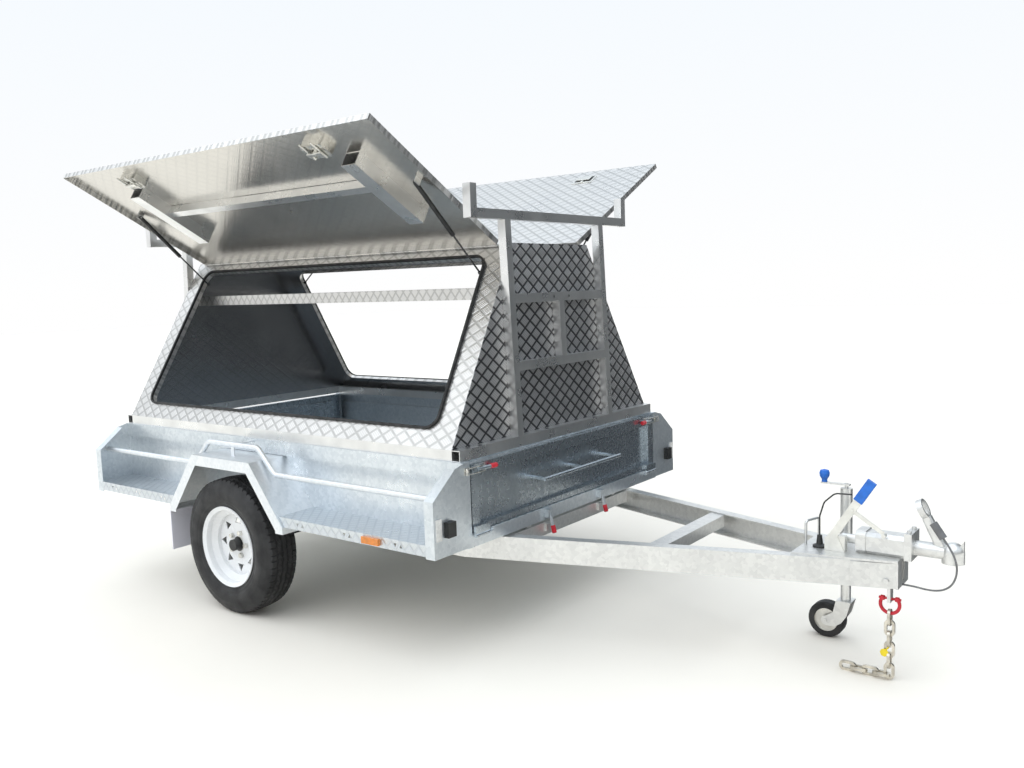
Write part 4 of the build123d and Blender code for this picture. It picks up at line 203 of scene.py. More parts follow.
def checker_plate(
    name, across, up, lit_pad, shaded_groove, pitch=(0.080, 0.060), roughness=0.3, depth=0.0012, metallic=0.92
):
    """Five-bar tread plate: diamonds of raised bars that turn from one diamond to the next; grooves
    painted in shade, pads and bars in light.
    """
    shader = Shader(name, metallic=metallic)
    place = shader.place()
    side = []
    for direction, size in zip((across, up), pitch):
        inputs = {0: place, 1: direction}
        along = shader.node("ShaderNodeVectorMath", inputs, operation="DOT_PRODUCT").outputs["Value"]
        side.append(shader.math("DIVIDE", along, size))
    diagonal = [shader.math("ADD", *side), shader.math("SUBTRACT", *side)]
    whole = [shader.math("FLOOR", value) for value in diagonal]
    local = [shader.math("SUBTRACT", a, b) for a, b in zip(diagonal, whole)]
    from_middle = [shader.math("ABSOLUTE", shader.math("SUBTRACT", value, 0.5)) for value in local]
    inside = shader.remap(shader.math("MAXIMUM", *from_middle), 1, 0, *PAD_SPAN)
    odd = shader.math("FLOORED_MODULO", shader.math("ADD", *whole), 2.0)
    even = shader.math("SUBTRACT", 1.0, odd)
    along_pad = shader.weighted((local[0], odd), (local[1], even))
    wave = shader.math("SINE", shader.math("MULTIPLY", along_pad, 2 * math.pi * BARS))
    raised = shader.math("MULTIPLY", inside, shader.remap(wave, 0, 1, *BAR_SPAN))
    wear = shader.noise(WEAR_SCALE, 4)
    # Painted shade and light: the grooves take the dark tone, the pads and raised bars the light
    # one, besides random wear
    tone = shader.weighted((inside, PAD_SHARE), (raised, BAR_SHARE), (wear, WEAR_SHARE))
    shader.drive("Base Color", shader.blend(shader.remap(tone, 0, 1, *TONE_SPAN), shaded_groove, lit_pad))
    gloss = shader.remap(wear, roughness * DULL, roughness * PLATE_GLOSSY, *NOISE_SPAN)
    shader.drive("Roughness", gloss)
    height = shader.math("ADD", inside, shader.math("MULTIPLY", raised, BAR_HEIGHT))
    shader.bump(height, depth, PLATE_STRENGTH)
    return shader.material


def speckled(
    name, color, metallic=0.0, roughness=0.5, spread=0.2, scale=30.0, grain=400.0, depth=0.0002
):
    """A plain finish with soft tone changes, uneven gloss and a fine grain."""
    shader = Shader(name, color, metallic, roughness)
    patch = shader.noise(scale, 4)
    low = tuple(max(0.0, value * (1 - spread)) for value in color)
    high = tuple(min(1.0, value * (1 + spread)) for value in color)
    shader.drive("Base Color", shader.blend(shader.remap(patch, 0, 1, *NOISE_SPAN), low, high))
    gloss = shader.remap(patch, roughness * DULL, roughness * GLOSSY, *NOISE_SPAN)
    shader.drive("Roughness", gloss)
    shader.bump(shader.noise(grain, 2), depth, GRAIN_STRENGTH)
    return shader.material


def lens(name, color):
    """A moulded lamp lens: clear gloss over fine ribs."""
    shader = Shader(name, color, roughness=0.12)
    shader.set("Coat Weight", LENS_COAT)
    height = shader.node("ShaderNodeSeparateXYZ", {0: shader.place()}).outputs[2]
    ribs = shader.math("SINE", shader.math("MULTIPLY", height, RIB_RATE))
    patch = shader.noise(LENS_SCALE, 2)
    low = tuple(value * LENS_DARK for value in color)
    shader.drive("Base Color", shader.blend(shader.remap(patch, 0, 1, *NOISE_SPAN), low, color))
    shader.bump(ribs, RIB_DEPTH, RIB_STRENGTH)
    return shader.material


ZINC = galvanised("zinc_sheet", (0.80, 0.84, 0.87), (0.58, 0.63, 0.67))
ZINC_BAR = galvanised("zinc_bar", (0.84, 0.84, 0.82), (0.64, 0.64, 0.63), (0.28, 0.44))
# Painted shade: the gates get a darker copy of the zinc
SHADED_GATE_ZINC = galvanised("zinc_gate_shaded", (0.62, 0.67, 0.71), (0.42, 0.47, 0.51), (0.20, 0.34), 0.95)
ZINC_PALE = galvanised("zinc_pale", (0.88, 0.90, 0.92), (0.72, 0.76, 0.79), (0.34, 0.5))
PLATED = speckled("plated_steel", (0.72, 0.71, 0.67), 0.95, 0.27, 0.15, 18)
CHAIN_STEEL = speckled("chain_steel", (0.66, 0.62, 0.54), 0.95, 0.3, 0.25, 40)
PALE_ZINC = speckled("passivated_zinc", (0.80, 0.79, 0.74), 0.55, 0.42, 0.08, 25)
TUBE_ALLOY = speckled("alloy_tube", (0.78, 0.78, 0.77), 0.95, 0.3, 0.08, 9)
BLACK_STEEL = speckled("black_steel", (0.022, 0.022, 0.023), 0.2, 0.45, 0.4)
DARK_ROD = speckled("dark_rod", (0.09, 0.09, 0.095), 0.9, 0.25, 0.2)
RUBBER = speckled("rubber", (0.018, 0.018, 0.019), 0.0, 0.62, 0.35, 14, 900, 0.0004)
SEAL = speckled("seal_rubber", (0.012, 0.012, 0.012), 0.0, 0.55, 0.3)
WHITE_PAINT = speckled("white_paint", (0.84, 0.85, 0.86), 0.0, 0.25, 0.04, 12)
FLAP = speckled("flap_plastic", (0.74, 0.73, 0.80), 0.0, 0.45, 0.06, 8)
RED = speckled("red_plastic", (0.55, 0.015, 0.03), 0.0, 0.4, 0.2)
BLUE = speckled("blue_plastic", (0.015, 0.15, 0.60), 0.0, 0.35, 0.2)
YELLOW = speckled("yellow_tag", (0.85, 0.66, 0.02), 0.0, 0.4, 0.15)
BLACK_PLASTIC = speckled("black_plastic", (0.02, 0.02, 0.02), 0.0, 0.4, 0.3)
GREY_CABLE = speckled("grey_cable", (0.16, 0.16, 0.165), 0.0, 0.5, 0.2)
AMBER = lens("amber_lens", (0.85, 0.26, 0.02))
RED_LENS = lens("red_lens", (0.60, 0.02, 0.02))
CLEAR_LENS = lens("clear_lens", (0.86, 0.85, 0.82))

# Tread plates: light tones of the pads, painted shade of the grooves, and the pattern's directions
# on each sheet
ALUMINIUM = ((0.68, 0.67, 0.655), (0.45, 0.445, 0.43))
# Painted shade: the end walls' plate is darker all over, with grooves near black
SHADED_WALL_TONES = ((0.55, 0.55, 0.56), (0.04, 0.04, 0.045))
FLOOR_ZINC = ((0.74, 0.82, 0.88), (0.48, 0.56, 0.62))
SHELF_ZINC = ((0.70, 0.74, 0.77), (0.58, 0.62, 0.66))
ALONG_X, ALONG_Y, ALONG_Z = (1, 0, 0), (0, 1, 0), (0, 0, 1)
WALL_PLATE = checker_plate("end_wall_plate", ALONG_Y, ALONG_Z, *SHADED_WALL_TONES, roughness=0.34)
ROOF_PLATE = checker_plate("roof_plate", ALONG_Y, ALONG_X, *ALUMINIUM, depth=0.0007)
RAIL_PLATE = checker_plate(
    "rail_plate", ALONG_X, (0, 0.6, 0.8), *ALUMINIUM, pitch=(0.05, 0.05), depth=0.0007
)
FLOOR_PLATE = checker_plate("floor_plate", ALONG_X, ALONG_Y, *FLOOR_ZINC, metallic=0.55)
SHELF_PLATE = checker_plate("shelf_plate", ALONG_X, (0, 0.7, 0.7), *SHELF_ZINC, pitch=(0.05, 0.04))
PLATES = {}
for side, sign in SIDES:
    side_rise = (0, -sign * SIDE_UP[0], SIDE_UP[1])
    door_rise = (0, sign * OPEN_OUT[0], OPEN_OUT[1])
    PLATES[f"canopy_side_{side}"] = checker_plate(
        f"side_plate_{side}", ALONG_X, side_rise, *ALUMINIUM, depth=0.0006
    )
    PLATES[f"door_{side}"] = checker_plate(
        f"door_plate_{side}", ALONG_X, door_rise, *ALUMINIUM, depth=0.0007
    )

# Finish of each node; the others are zinc sheet
FINISHES = {
    **PLATES,
    "canopy_front_wall": WALL_PLATE,
    "canopy_rear_wall": WALL_PLATE,
    "canopy_roof": ROOF_PLATE,
    "canopy_base": TUBE_ALLOY,
    "inner_rails": RAIL_PLATE,
    "tub_floor": FLOOR_PLATE,
    "shelves": SHELF_PLATE,
    # The gates take the darker zinc, which is painted shade
    "gate_front": SHADED_GATE_ZINC,
    "gate_rear": SHADED_GATE_ZINC,
    "guard_right": ZINC_PALE,
    "guard_left": ZINC_PALE,
    "tie_rails": ZINC_PALE,
    "rack_front": TUBE_ALLOY,
    "rack_rear": TUBE_ALLOY,
    "door_fittings_right": TUBE_ALLOY,
    "door_fittings_left": TUBE_ALLOY,
    "door_seals": SEAL,
    "springs": BLACK_STEEL,
    "spring_hangers": ZINC_BAR,
    "brake_calipers": PLATED,
    "strut_cylinders_right": BLACK_STEEL,
    "strut_cylinders_left": BLACK_STEEL,
    "strut_rods_right": DARK_ROD,
    "strut_rods_left": DARK_ROD,
    "frame_brackets": PLATED,
    "mudflaps": FLAP,
    "tail_lamps": RED_LENS,
    "marker_lamps": CLEAR_LENS,
    "rim_right": WHITE_PAINT,
    "rim_left": WHITE_PAINT,
    "hub_right": PLATED,
    "hub_left": PLATED,
    "tyre_right": RUBBER,
    "tyre_left": RUBBER,
    "jockey_wheel": RUBBER,
    "jockey_leg": ZINC_BAR,
    "jockey_fork": ZINC_BAR,
    "jockey_mount": ZINC_BAR,
    "coupling_body": ZINC_BAR,
    "coupling_head": ZINC_BAR,
    "handbrake": PALE_ZINC,
    "brake_cable": BLACK_PLASTIC,
    "safety_chain": CHAIN_STEEL,
    "shackle": RED,
    "lead_plug": GREY_CABLE,
    "lighting_lead": GREY_CABLE,
    "drawbar_rails": ZINC_BAR,
    "drawbar_beams": ZINC_BAR,
    "axle": BLACK_STEEL,
}


def finish_node(name, material):
    """Give a node its material."""
    data = NODES[name].data
    data.materials.clear()
    data.materials.append(material)


def paint_faces(name, material, chosen):
    """Give a second material to the faces of a node chosen by their middle and normal."""
    data = NODES[name].data
    data.materials.append(material)
    index = len(data.materials) - 1
    for face in data.polygons:
        if chosen(face.center, face.normal):
            face.material_index = index


def off_axle(point, x, z):
    """How far a point lies from an axle along Y."""
    return math.hypot(point.x - x, point.z - z)


for name in NODES:
    finish_node(name, FINISHES.get(name, ZINC))

# Second colours: jockey knob, handbrake grip, marker lamps, wheel dishes and the shackle's lug
CRANK_REACH, KNOB_HALF, KNOB_LOW = 0.090, 0.024, 0.6576
KNOB_FRONT = X_JOCKEY - CRANK_REACH + KNOB_HALF
paint_faces("jockey_mount", BLUE, lambda p, n: p.z > KNOB_LOW and p.x < KNOB_FRONT)
LEVER_WAY = Vector((0.157, 0, 0.244)).normalized()
GRIP_TOP = Vector((X_DRAWBAR_NOSE - 0.091, -0.058, 0.744))
GRIP_LENGTH, GRIP_SEAM = 0.092, 0.0005
GRIP_LOW = GRIP_TOP - LEVER_WAY * GRIP_LENGTH
paint_faces("handbrake", BLUE, lambda p, n: (p - GRIP_LOW).dot(LEVER_WAY) > -GRIP_SEAM)
SIDE_MARKER_TOP, FRONT_MARKER_OUT = 0.53, 0.92
paint_faces("marker_lamps", AMBER, lambda p, n: p.z < SIDE_MARKER_TOP)
paint_faces(
    "marker_lamps",
    BLACK_PLASTIC,
    lambda p, n: p.z > SIDE_MARKER_TOP and abs(p.y) < FRONT_MARKER_OUT,
)
JOCKEY_AXLE_X, JOCKEY_AXLE_Z, JOCKEY_DISH = X_JOCKEY - 0.074, 0.075, 0.0485
paint_faces(
    "jockey_wheel", PLATED, lambda p, n: off_axle(p, JOCKEY_AXLE_X, JOCKEY_AXLE_Z) < JOCKEY_DISH
)
LUG_HALF, LUG_LOW = 0.0063, 0.29
paint_faces("shackle", ZINC_BAR, lambda p, n: abs(p.x - CHAIN_X) < LUG_HALF and p.z > LUG_LOW)
HUB_CAP = 0.034
for side, sign in SIDES:
    paint_faces(f"hub_{side}", BLACK_PLASTIC, lambda p, n: off_axle(p, WHEEL_X, WHEEL_Z) < HUB_CAP)

# Doors as they stand in the model: hinge line, latches along and out from it, outer skin above it
DOOR_HINGE_Y, DOOR_HINGE_Z = 0.31193, 1.68389
DOOR_LATCH_X = (-1.4465, -0.0995)
DOOR_LATCH_OUT = 0.775
DOOR_SKIN = 0.023
LATCH_PLATE_IN = -0.045


def door_axes(sign):
    """Directions along, out from the hinge and above the plane of one door."""
    return (
        Vector((1, 0, 0)),
        Vector((0, sign * OPEN_OUT[0], OPEN_OUT[1])),
        Vector((0, -sign * OPEN_OUT[1], OPEN_OUT[0])),
    )


def latch_point(sign, x, past, above):
    """A point of one door: along it, past its line of latches and above its plane."""
    along, outward, upward = door_axes(sign)
    hinge = Vector((0, sign * DOOR_HINGE_Y, DOOR_HINGE_Z))
    return hinge + along * x + outward * (DOOR_LATCH_OUT + past) + upward * above


for side, sign in SIDES:
    edge = latch_point(sign, 0, LATCH_PLATE_IN, 0)
    paint_faces(
        f"door_fittings_{side}", PLATED, lambda p, n: (p - edge).dot(door_axes(sign)[1]) > 0
    )

# The plain backs of the tread plates, where the pattern only shows through
BACKS = [
    # node, outward direction of the patterned face
    ("canopy_front_wall", (1, 0, 0)),
    ("canopy_rear_wall", (-1, 0, 0)),
    ("canopy_roof", (0, 0, 1)),
    ("canopy_side_right", (0, -0.87, 0.5)),
    ("canopy_side_left", (0, 0.87, 0.5)),
    ("door_right", (0, 0.5, 0.87)),
    ("door_left", (0, -0.5, 0.87)),
]
# Painted reflection: the doors' backs take a light, warm tone, as the ground below lights them
DOOR_BACK_GROUND_REFLECTION = ((0.68, 0.655, 0.61), (0.63, 0.605, 0.565))
# Painted shade: the canopy's inner faces are much darker than the doors' backs
WALL_BACK_SHADED = ((0.40, 0.40, 0.405), (0.37, 0.37, 0.375))
BACK_TURN = -0.4
for name, outward in BACKS:
    tones = DOOR_BACK_GROUND_REFLECTION if name.startswith("door") else WALL_BACK_SHADED
    along = ALONG_Y if outward[0] else ALONG_X
    rise = Vector(outward).cross(Vector(along)).normalized()
    back = checker_plate(f"{name}_back", along, tuple(rise), *tones, roughness=0.22, depth=0.00012)
    paint_faces(name, back, lambda p, n: n.dot(Vector(outward)) < BACK_TURN)


def mesh_object(name, material, body, slot, build, *place):
    """A new mesh piece, made by a build function on an empty bmesh."""
    data = bpy.data.meshes.new(name)
    shape = bmesh.new()
    build(shape, *place)
    bmesh.ops.recalc_face_normals(shape, faces=shape.faces)
    shape.to_mesh(data)
    shape.free()
    data.materials.append(material)
    piece = bpy.data.objects.new(name, data)
    bpy.context.collection.objects.link(piece)
    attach(piece, body)
    return piece


# Rounding of the new bars and boxes: angle of a sharp edge, share of the smallest size, most
SHARP_EDGE = math.radians(70)
ROUND_SHARE = 0.3
ROUND_MOST = 0.0015


def soften(shape, verts, offset):
    """Round the sharp edges between the newest points of a bmesh."""
    shape.normal_update()
    edges = dict.fromkeys(edge for vert in verts for edge in vert.link_edges)
    sharp = [edge for edge in edges if edge.calc_face_angle(0) > SHARP_EDGE]
    bmesh.ops.bevel(
        shape, geom=sharp, offset=offset, segments=2, affect="EDGES", profile=0.5, clamp_overlap=True
    )


def tube(shape, start, end, radius, sides=16):
    """A closed round bar with soft ends in a bmesh."""
    axis = Vector(end) - Vector(start)
    turn = axis.to_track_quat("Z", "Y").to_matrix().to_4x4()
    middle = Matrix.Translation((Vector(start) + Vector(end)) / 2)
    made = bmesh.ops.create_cone(
        shape,
        cap_ends=True,
        segments=sides,
        radius1=radius,
        radius2=radius,
        depth=axis.length,
        matrix=middle @ turn,
    )
    soften(shape, made["verts"], radius * ROUND_SHARE)


def slab(shape, middle, axes, size):
    """A box with soft edges in a bmesh, along three given directions."""
    turn = Matrix([axis * length for axis, length in zip(axes, size)]).transposed().to_4x4()
    made = bmesh.ops.create_cube(shape, size=1.0, matrix=Matrix.Translation(middle) @ turn)
    soften(shape, made["verts"], min(ROUND_MOST, min(size) * ROUND_SHARE))


# Tyres with tread and sidewall rings, inside the solids' outline
TREAD_HALF = 0.068
TREAD_STEPS = 40
TURN_STEPS = 300
CROWN_R, SHOULDER_R, BEAD_R, BEAD_HALF = 0.325, 0.320, 0.1783, 0.066
CROWN_INSET = 0.0004
GROOVES = [
    # across, half width, zigzag reach, depth
    (-0.042, 0.0035, 0.0022, 0.007),
    (-0.014, 0.0035, 0.0028, 0.008),
    (0.014, 0.0035, 0.0028, 0.008),
    (0.042, 0.0035, 0.0022, 0.007),
]
SHOULDER_LINE = 0.05
SHOULDER_BLOCKS, SHOULDER_GAP, SHOULDER_DEPTH = 62, 0.2, 0.006
SIPE_BLOCKS, SIPE_GAP, SIPE_DEPTH = 75, 0.14, 0.004
SIPE_SLANT, SIPE_LINE, SIPE_HALF = 40, 0.028, 0.008
WALL_STEPS = 16
WALL_BULGE, WALL_INSET = 0.094, 0.0005
WALL_RINGS, RING_DEPTH = (4, 5, 11, 13), 0.0012


def tread_drop(across, turn):
    """How far the tread lies below the crown's outline at a point."""
    zigzag = abs((turn * SIPE_BLOCKS / 2) % 1 - 0.5) * 4 - 1
    drop = 0.0
    for line, half, reach, depth in GROOVES:
        if abs(across - line - zigzag * reach) < half:
            drop = depth
    if abs(across) > SHOULDER_LINE and (turn * SHOULDER_BLOCKS) % 1 < SHOULDER_GAP:
        drop = SHOULDER_DEPTH
    in_sipe = (turn * SIPE_BLOCKS + across * SIPE_SLANT) % 1 < SIPE_GAP
    on_rib = abs(across) < SHOULDER_LINE and abs(abs(across) - SIPE_LINE) < SIPE_HALF
    if in_sipe and on_rib:
        drop = max(drop, SIPE_DEPTH)
    return drop


def wall_profile():
    """Points of one sidewall from the shoulder to the bead: across, radius."""
    middle_r = (BEAD_R + SHOULDER_R) / 2
    line = []
    for step in range(1, WALL_STEPS + 1):
        share = step / WALL_STEPS
        radius = SHOULDER_R + (BEAD_R - SHOULDER_R) * share
        swell = 1 - ((radius - middle_r) / (SHOULDER_R - middle_r)) ** 2
        foot = TREAD_HALF + (BEAD_HALF - TREAD_HALF) * share
        ring = RING_DEPTH if step in WALL_RINGS else 0.0
        line.append((foot + (WALL_BULGE - WALL_INSET - foot) * swell - ring, radius))
    return line


def build_tyre(shape, sign):
    """One tyre as rings of points round the axle."""
    wall = wall_profile()
    rings = []
    for index in range(TURN_STEPS):
        turn = index / TURN_STEPS
        angle = 2 * math.pi * turn
        points = [(-across, radius) for across, radius in reversed(wall)]
        for step in range(TREAD_STEPS + 1):
            across = TREAD_HALF * (2 * step / TREAD_STEPS - 1)
            crown = CROWN_R - (CROWN_R - SHOULDER_R) * (across / TREAD_HALF) ** 2
            points.append((across, crown - CROWN_INSET - tread_drop(across, turn)))
        points += wall
        ring = []
        for across, radius in points:
            x = WHEEL_X + radius * math.cos(angle)
            z = WHEEL_Z + radius * math.sin(angle)
            ring.append(shape.verts.new((x, sign * WHEEL_Y + across, z)))
        rings.append(ring)
    for index, ring in enumerate(rings):
        after = rings[(index + 1) % TURN_STEPS]
        for step, point in enumerate(ring):
            following = (step + 1) % len(ring)
            shape.faces.new((point, ring[following], after[following], after[step]))


for side, sign in SIDES:
    tyre = mesh_object(f"tread_{side}", RUBBER, f"wheel_{side}", "tyre", build_tyre, sign)
    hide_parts(f"tyre_{side}")

# Latches of the gates: the lever's red tip, base, cheeks and wire loop, keeper on the tub's corner
GATE_LATCH_Z = 0.783
LEVER_ROOT, LEVER_END = (0.010, 0.710), (0.020, 0.605)  # out from the gate, y
TIP_R, TIP_LENGTH, TIP_PAST = 0.0105, 0.036, 0.002
LATCH_SLABS = [
    # out from the gate, y, lift, size
    (0.003, 0.690, 0.0, (0.006, 0.064, 0.036)),
    (0.012, 0.700, -0.012, (0.016, 0.034, 0.004)),
    (0.012, 0.700, 0.012, (0.016, 0.034, 0.004)),
]
KEEPER_SLABS = [
    # out from the corner, y, lift, size
    (0.0015, 0.772, 0.0, (0.003, 0.030, 0.030)),
    (0.006, 0.770, 0.0, (0.012, 0.012, 0.014)),
]
WIRE_OUT, WIRE_R, WIRE_SIDES = 0.0145, 0.0026, 8
LATCH_WIRES = [
    # y and lift of the two ends
    ((0.694, -0.012), (0.786, -0.012)),
    ((0.694, 0.012), (0.786, 0.012)),
    ((0.786, -0.0145), (0.786, 0.0145)),
]


def gate_point(gate_end, sign, out, y, lift=0.0):
    """A point at a gate's latch: out from the gate, to the side and above the latch's height."""
    station, outward = gate_end
    return Vector((station + outward * out, sign * y, GATE_LATCH_Z + lift))


def build_tip(shape, gate_end, sign):
    """The red tip of a gate latch's lever."""
    start = gate_point(gate_end, sign, *LEVER_ROOT)
    end = gate_point(gate_end, sign, *LEVER_END)
    way = (end - start).normalized()
    tube(shape, end - way * TIP_LENGTH, end + way * TIP_PAST, TIP_R)


def build_latch(shape, gate_end, sign):
    """Base, cheeks and wire loop of a gate's latch."""
    for *place, size in LATCH_SLABS:
        slab(shape, gate_point(gate_end, sign, *place), AXES, size)
    for first, second in LATCH_WIRES:
        start = gate_point(gate_end, sign, WIRE_OUT, *first)
        tube(shape, start, gate_point(gate_end, sign, WIRE_OUT, *second), WIRE_R, WIRE_SIDES)


def build_keeper(shape, gate_end, sign):
    """The keeper of a gate's latch."""
    for *place, size in KEEPER_SLABS:
        slab(shape, gate_point(gate_end, sign, *place), AXES, size)


for gate, gate_end in (("gate_front", (X_FRONT, 1)), ("gate_rear", (X_REAR, -1))):
    for side, sign in SIDES:
        place = (gate_end, sign)
        mesh_object(f"{gate}_tip_{side}", RED, gate, "red_paint", build_tip, *place)
        mesh_object(f"{gate}_latch_{side}", PLATED, gate, "bright_steel", build_latch, *place)
        mesh_object(f"{gate}_keeper_{side}", PLATED, "bed", "bright_steel", build_keeper, *place)

# Amber and clear bands on the tail lamps, whose housings are black
LAMP_FACE, LAMP_Y, LAMP_DEPTH = -2.0575, 0.900, 0.012
BAND_OUT, BAND_THICK, BAND_WIDE = 0.0008, 0.0036, 0.076
LAMP_BANDS = [
    # name, height, tall, material, slot
    ("amber", 0.6205, 0.031, AMBER, "lamp_red"),
    ("clear", 0.5560, 0.020, CLEAR_LENS, "lamp_clear"),
]


def build_band(shape, sign, height, tall):
    """One band of a tail lamp's lens."""
    middle = Vector((LAMP_FACE - BAND_OUT, sign * LAMP_Y, height))
    slab(shape, middle, AXES, (BAND_THICK, BAND_WIDE, tall))


for band, height, tall, material, slot in LAMP_BANDS:
    for side, sign in SIDES:
        mesh_object(f"tail_{band}_{side}", material, "bed", slot, build_band, sign, height, tall)
paint_faces("tail_lamps", BLACK_PLASTIC, lambda p, n: p.x > LAMP_FACE + LAMP_DEPTH)

# Red tips on the levers of the tilt latches
TILT_Y = (-0.233, 0.205)
TILT_TOP_X, TILT_TOP_Z = X_FRONT + 0.016, 0.502
TILT_LEVER = Vector((0.024, 0, -0.092))
TILT_TIP_SHORT = 0.0005


def build_tilt_tip(shape, latch_y):
    """The red tip of a tilt latch's lever."""
    end = Vector((TILT_TOP_X, latch_y, TILT_TOP_Z)) + TILT_LEVER
    way = TILT_LEVER.normalized()
    tube(shape, end - way * TIP_LENGTH, end - way * TILT_TIP_SHORT, TIP_R)


for index, latch_y in enumerate(TILT_Y):
    mesh_object(f"tilt_tip_{index}", RED, "bed", "red_paint", build_tilt_tip, latch_y)

# Door latches: paddle and lock outside, turn handle and bolts inside, and a dark slab of painted
# shade for the paddle's recess
PADDLE_SLABS = [
    # past the line of latches, above the door's plane, size
    (0.0, DOOR_SKIN + 0.0015, (0.130, 0.082, 0.003)),
    (0.008, DOOR_SKIN + 0.008, (0.086, 0.044, 0.005)),
]
LOCK_PAST, LOCK_TALL, LOCK_R = -0.026, 0.008, 0.009
# Painted shade: the recess is a dark slab laid over the plate round the paddle
RECESS_PAST, RECESS_ABOVE, RECESS_SIZE = 0.006, DOOR_SKIN + 0.0035, (0.104, 0.058, 0.002)
BOLT_X, BOLT_ABOVE, BOLT_R, BOLT_SIDES = (-0.034, 0.034), -0.015, 0.0045, 10
BOLT_IN, BOLT_OUT = -0.036, 0.062
PIVOT_ABOVE, PIVOT_TALL, PIVOT_R = -0.004, 0.022, 0.010
HANDLE_ABOVE, HANDLE_SIZE = -0.022, (0.086, 0.018, 0.006)


def build_paddle(shape, sign, latch_x):
    """Plate, paddle and lock on the outside of a door."""
    axes = door_axes(sign)
    for past, above, size in PADDLE_SLABS:
        slab(shape, latch_point(sign, latch_x, past, above), axes, size)
    lock = latch_point(sign, latch_x, LOCK_PAST, DOOR_SKIN)
    tube(shape, lock, lock + axes[2] * LOCK_TALL, LOCK_R)


def build_recess_shade(shape, sign, latch_x):
    """A dark slab round a paddle: painted shade standing for the recess."""
    place = latch_point(sign, latch_x, RECESS_PAST, RECESS_ABOVE)
    slab(shape, place, door_axes(sign), RECESS_SIZE)


def build_handle(shape, sign, latch_x):
    """Bolts, pivot and turn handle on the inside of a door."""
    axes = door_axes(sign)
    for reach in BOLT_X:
        start = latch_point(sign, latch_x + reach, BOLT_IN, BOLT_ABOVE)
        end = latch_point(sign, latch_x + reach, BOLT_OUT, BOLT_ABOVE)
        tube(shape, start, end, BOLT_R, BOLT_SIDES)
    pivot = latch_point(sign, latch_x, 0.0, PIVOT_ABOVE)
    tube(shape, pivot, pivot - axes[2] * PIVOT_TALL, PIVOT_R)
    slab(shape, latch_point(sign, latch_x, 0.0, HANDLE_ABOVE), axes, HANDLE_SIZE)


LATCH_PIECES = [
    # name, material, slot, build function
    ("paddle", PLATED, "bright_steel", build_paddle),
    ("paddle_recess_shade", BLACK_PLASTIC, "black_steel", build_recess_shade),
    ("latch_handle", PLATED, "bright_steel", build_handle),
]
for side, sign in SIDES:
    for index, latch_x in enumerate(DOOR_LATCH_X):
        for name, material, slot, build in LATCH_PIECES:
            piece_name = f"{name}_{side}_{index}"
            mesh_object(piece_name, material, f"door_{side}", slot, build, sign, latch_x)

# Yellow tag on the chain: disc and tie
TAG_SIDES = 8
TAG_BARS = [
    # both ends from the foot of the hanging chain, radius
    ((-0.016, -0.012, 0.104), (-0.016, -0.006, 0.104), 0.016),
    ((-0.013, -0.010, 0.112), (0.0, 0.001, 0.128), 0.003),
]


def build_tag(shape):
    """Disc and tie of the tag."""
    foot = Vector((CHAIN_X, CHAIN_Y, 0))
    for start, end, radius in TAG_BARS:
        tube(shape, foot + Vector(start), foot + Vector(end), radius, TAG_SIDES)


mesh_object("chain_tag", YELLOW, "drawbar", "red_paint", build_tag)

# Lighting lead: the route's points from the part's source
LEAD_ROUTE = [
    # ahead of the drawbar's nose, y, z
    (0.008, -0.012, 0.362),
    (0.048, -0.012, 0.362),
    (0.095, -0.018, 0.358),
    (0.142, -0.032, 0.366),
    (0.180, -0.046, 0.392),
    (0.200, -0.056, 0.434),
    (0.202, -0.060, 0.482),
    (0.182, -0.056, 0.528),
    (0.154, -0.050, 0.566),
]
LEAD_RADIUS = 0.0035
LEAD_ORDER, LEAD_STEPS, LEAD_ROUND = 3, 12, 4


def add_lead():
    """The free lead on one smooth spline, ending in its plug."""
    points = [(X_DRAWBAR_NOSE + ahead, y, z) for ahead, y, z in LEAD_ROUTE]
    data = bpy.data.curves.new("lead", "CURVE")
    data.dimensions = "3D"
    data.bevel_depth = LEAD_RADIUS
    data.bevel_resolution = LEAD_ROUND
    data.resolution_u = LEAD_STEPS
    spline = data.splines.new("NURBS")
    spline.points.add(len(points) - 1)
    for point, place in zip(spline.points, points):
        point.co = (*place, 1)
    spline.order_u = LEAD_ORDER
    spline.use_endpoint_u = True
    data.materials.append(GREY_CABLE)
    lead = bpy.data.objects.new("lead", data)
    bpy.context.collection.objects.link(lead)
    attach(lead, "drawbar")
    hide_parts("lighting_lead")


add_lead()

# Stage: a pale floor, a dark flag, a soft sky and one wide sun
FLOOR_REACH = 40
FLAG_NEAR, FLAG_FAR, FLAG_RIGHT, FLAG_LEFT, FLAG_TOP = 0.55, 2.4, 0.35, 6.0, 2.6
FLAG_LIFT = 0.002
SKY_LOW, SKY_HIGH = (1.0, 1.0, 1.0, 1), (0.72, 0.86, 1.0, 1)
SKY_SHADES = [
    # axis, from, to, strength at the first, strength at the second
    (0, 0.05, 0.50, 1.0, 0.10),
    (2, 0.15, 0.40, 0.0, 1.0),
]
SUN_PLACE, SUN_AIM = Vector((-2.0, -2.5, 7.0)), Vector((-0.5, -0.3, 0))
SUN_SPREAD, SUN_STRENGTH = math.radians(90), 1.7


def stage_sheet(name, points, faces, material):
    """A flat sheet of the studio."""
    data = bpy.data.meshes.new(name)
    data.from_pydata(points, [], faces)
    data.materials.append(material)
    sheet = bpy.data.objects.new(name, data)
    bpy.context.collection.objects.link(sheet)
    return sheet


def add_floor():
    """The pale floor."""
    corners = ((-1, -1), (1, -1), (1, 1), (-1, 1))
    points = [(x * FLOOR_REACH, y * FLOOR_REACH, 0) for x, y in corners]
    paint = speckled("floor_paint", (0.93, 0.875, 0.79), 0.0, 0.85, 0.01, 2)
    floor = stage_sheet("floor", points, [(0, 1, 2, 3)], paint)


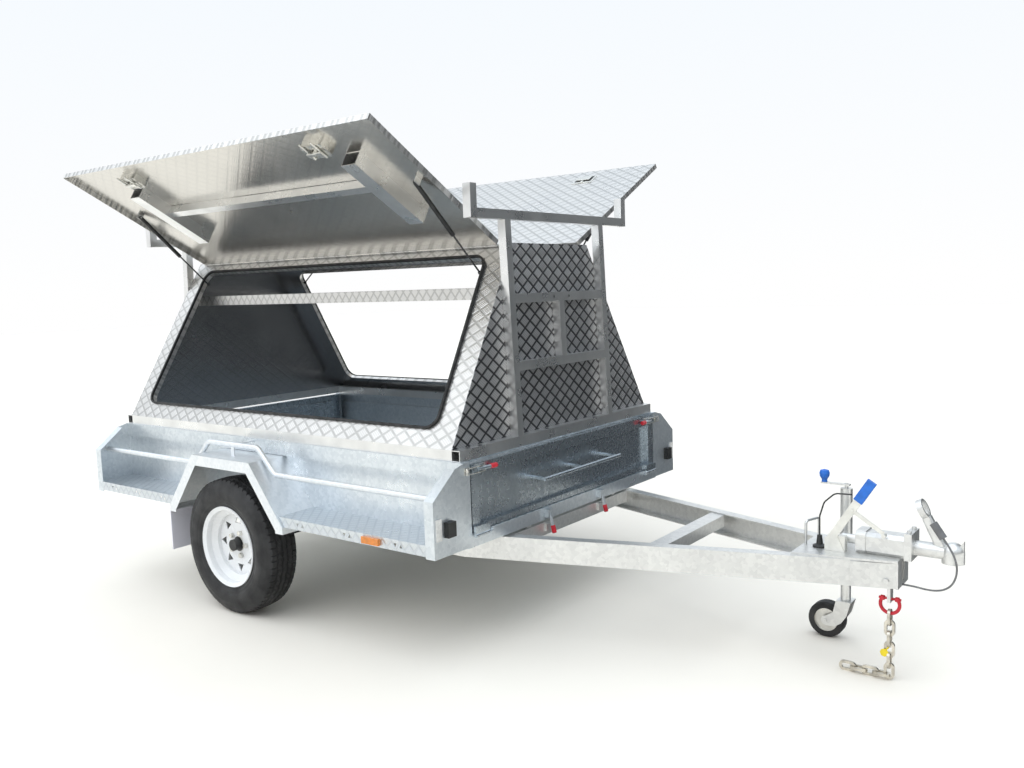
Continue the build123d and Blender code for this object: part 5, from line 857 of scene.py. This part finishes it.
def add_flag():
    """A dark flag ahead of the trailer, lying and standing, seen in reflections only."""
    points = []
    for x, z in ((FLAG_NEAR, FLAG_LIFT), (FLAG_FAR, FLAG_LIFT), (FLAG_FAR, FLAG_TOP)):
        points += [(x, FLAG_RIGHT, z), (x, FLAG_LEFT, z)]
    cloth = speckled("flag_cloth", (0.035, 0.04, 0.045), 0.0, 0.9, 0.1, 3)
    flag = stage_sheet("flag", points, [(0, 1, 3, 2), (2, 3, 5, 4)], cloth)
    for ray in ("camera", "diffuse", "transmission", "volume_scatter", "shadow"):
        setattr(flag, f"visible_{ray}", False)


def add_sky():
    """A white backdrop whose light is dimmed low ahead of the trailer."""
    world = bpy.data.worlds.new("studio")
    bpy.context.scene.world = world
    world.use_nodes = True
    sky = world.node_tree
    background = sky.nodes["Background"]
    direction = sky.nodes.new("ShaderNodeTexCoord")
    split = sky.nodes.new("ShaderNodeSeparateXYZ")
    sky.links.new(direction.outputs["Generated"], split.inputs[0])
    ramp = sky.nodes.new("ShaderNodeValToRGB")
    sky.links.new(split.outputs[2], ramp.inputs[0])
    for element, color in zip(ramp.color_ramp.elements, (SKY_LOW, SKY_HIGH)):
        element.color = color
    strength = sky.nodes.new("ShaderNodeLightPath").outputs["Is Camera Ray"]
    for axis, start, end, first, second in SKY_SHADES:
        shade = sky.nodes.new("ShaderNodeMapRange")
        span = {"From Min": start, "From Max": end, "To Min": first, "To Max": second}
        for socket, value in span.items():
            shade.inputs[socket].default_value = value
        sky.links.new(split.outputs[axis], shade.inputs["Value"])
        most = sky.nodes.new("ShaderNodeMath")
        most.operation = "MAXIMUM"
        sky.links.new(strength, most.inputs[0])
        sky.links.new(shade.outputs[0], most.inputs[1])
        strength = most.outputs[0]
    sky.links.new(ramp.outputs[0], background.inputs[0])
    sky.links.new(strength, background.inputs[1])


def add_sun():
    """One wide light from above, behind and to the right."""
    data = bpy.data.lights.new("overhead", "SUN")
    data.angle = SUN_SPREAD
    data.energy = SUN_STRENGTH
    lamp = bpy.data.objects.new("overhead", data)
    lamp.location = SUN_PLACE
    lamp.rotation_euler = (SUN_AIM - SUN_PLACE).to_track_quat("-Z", "Y").to_euler()
    bpy.context.collection.objects.link(lamp)


add_floor()
add_flag()
add_sky()
add_sun()
bpy.context.scene.view_settings.view_transform = "Standard"
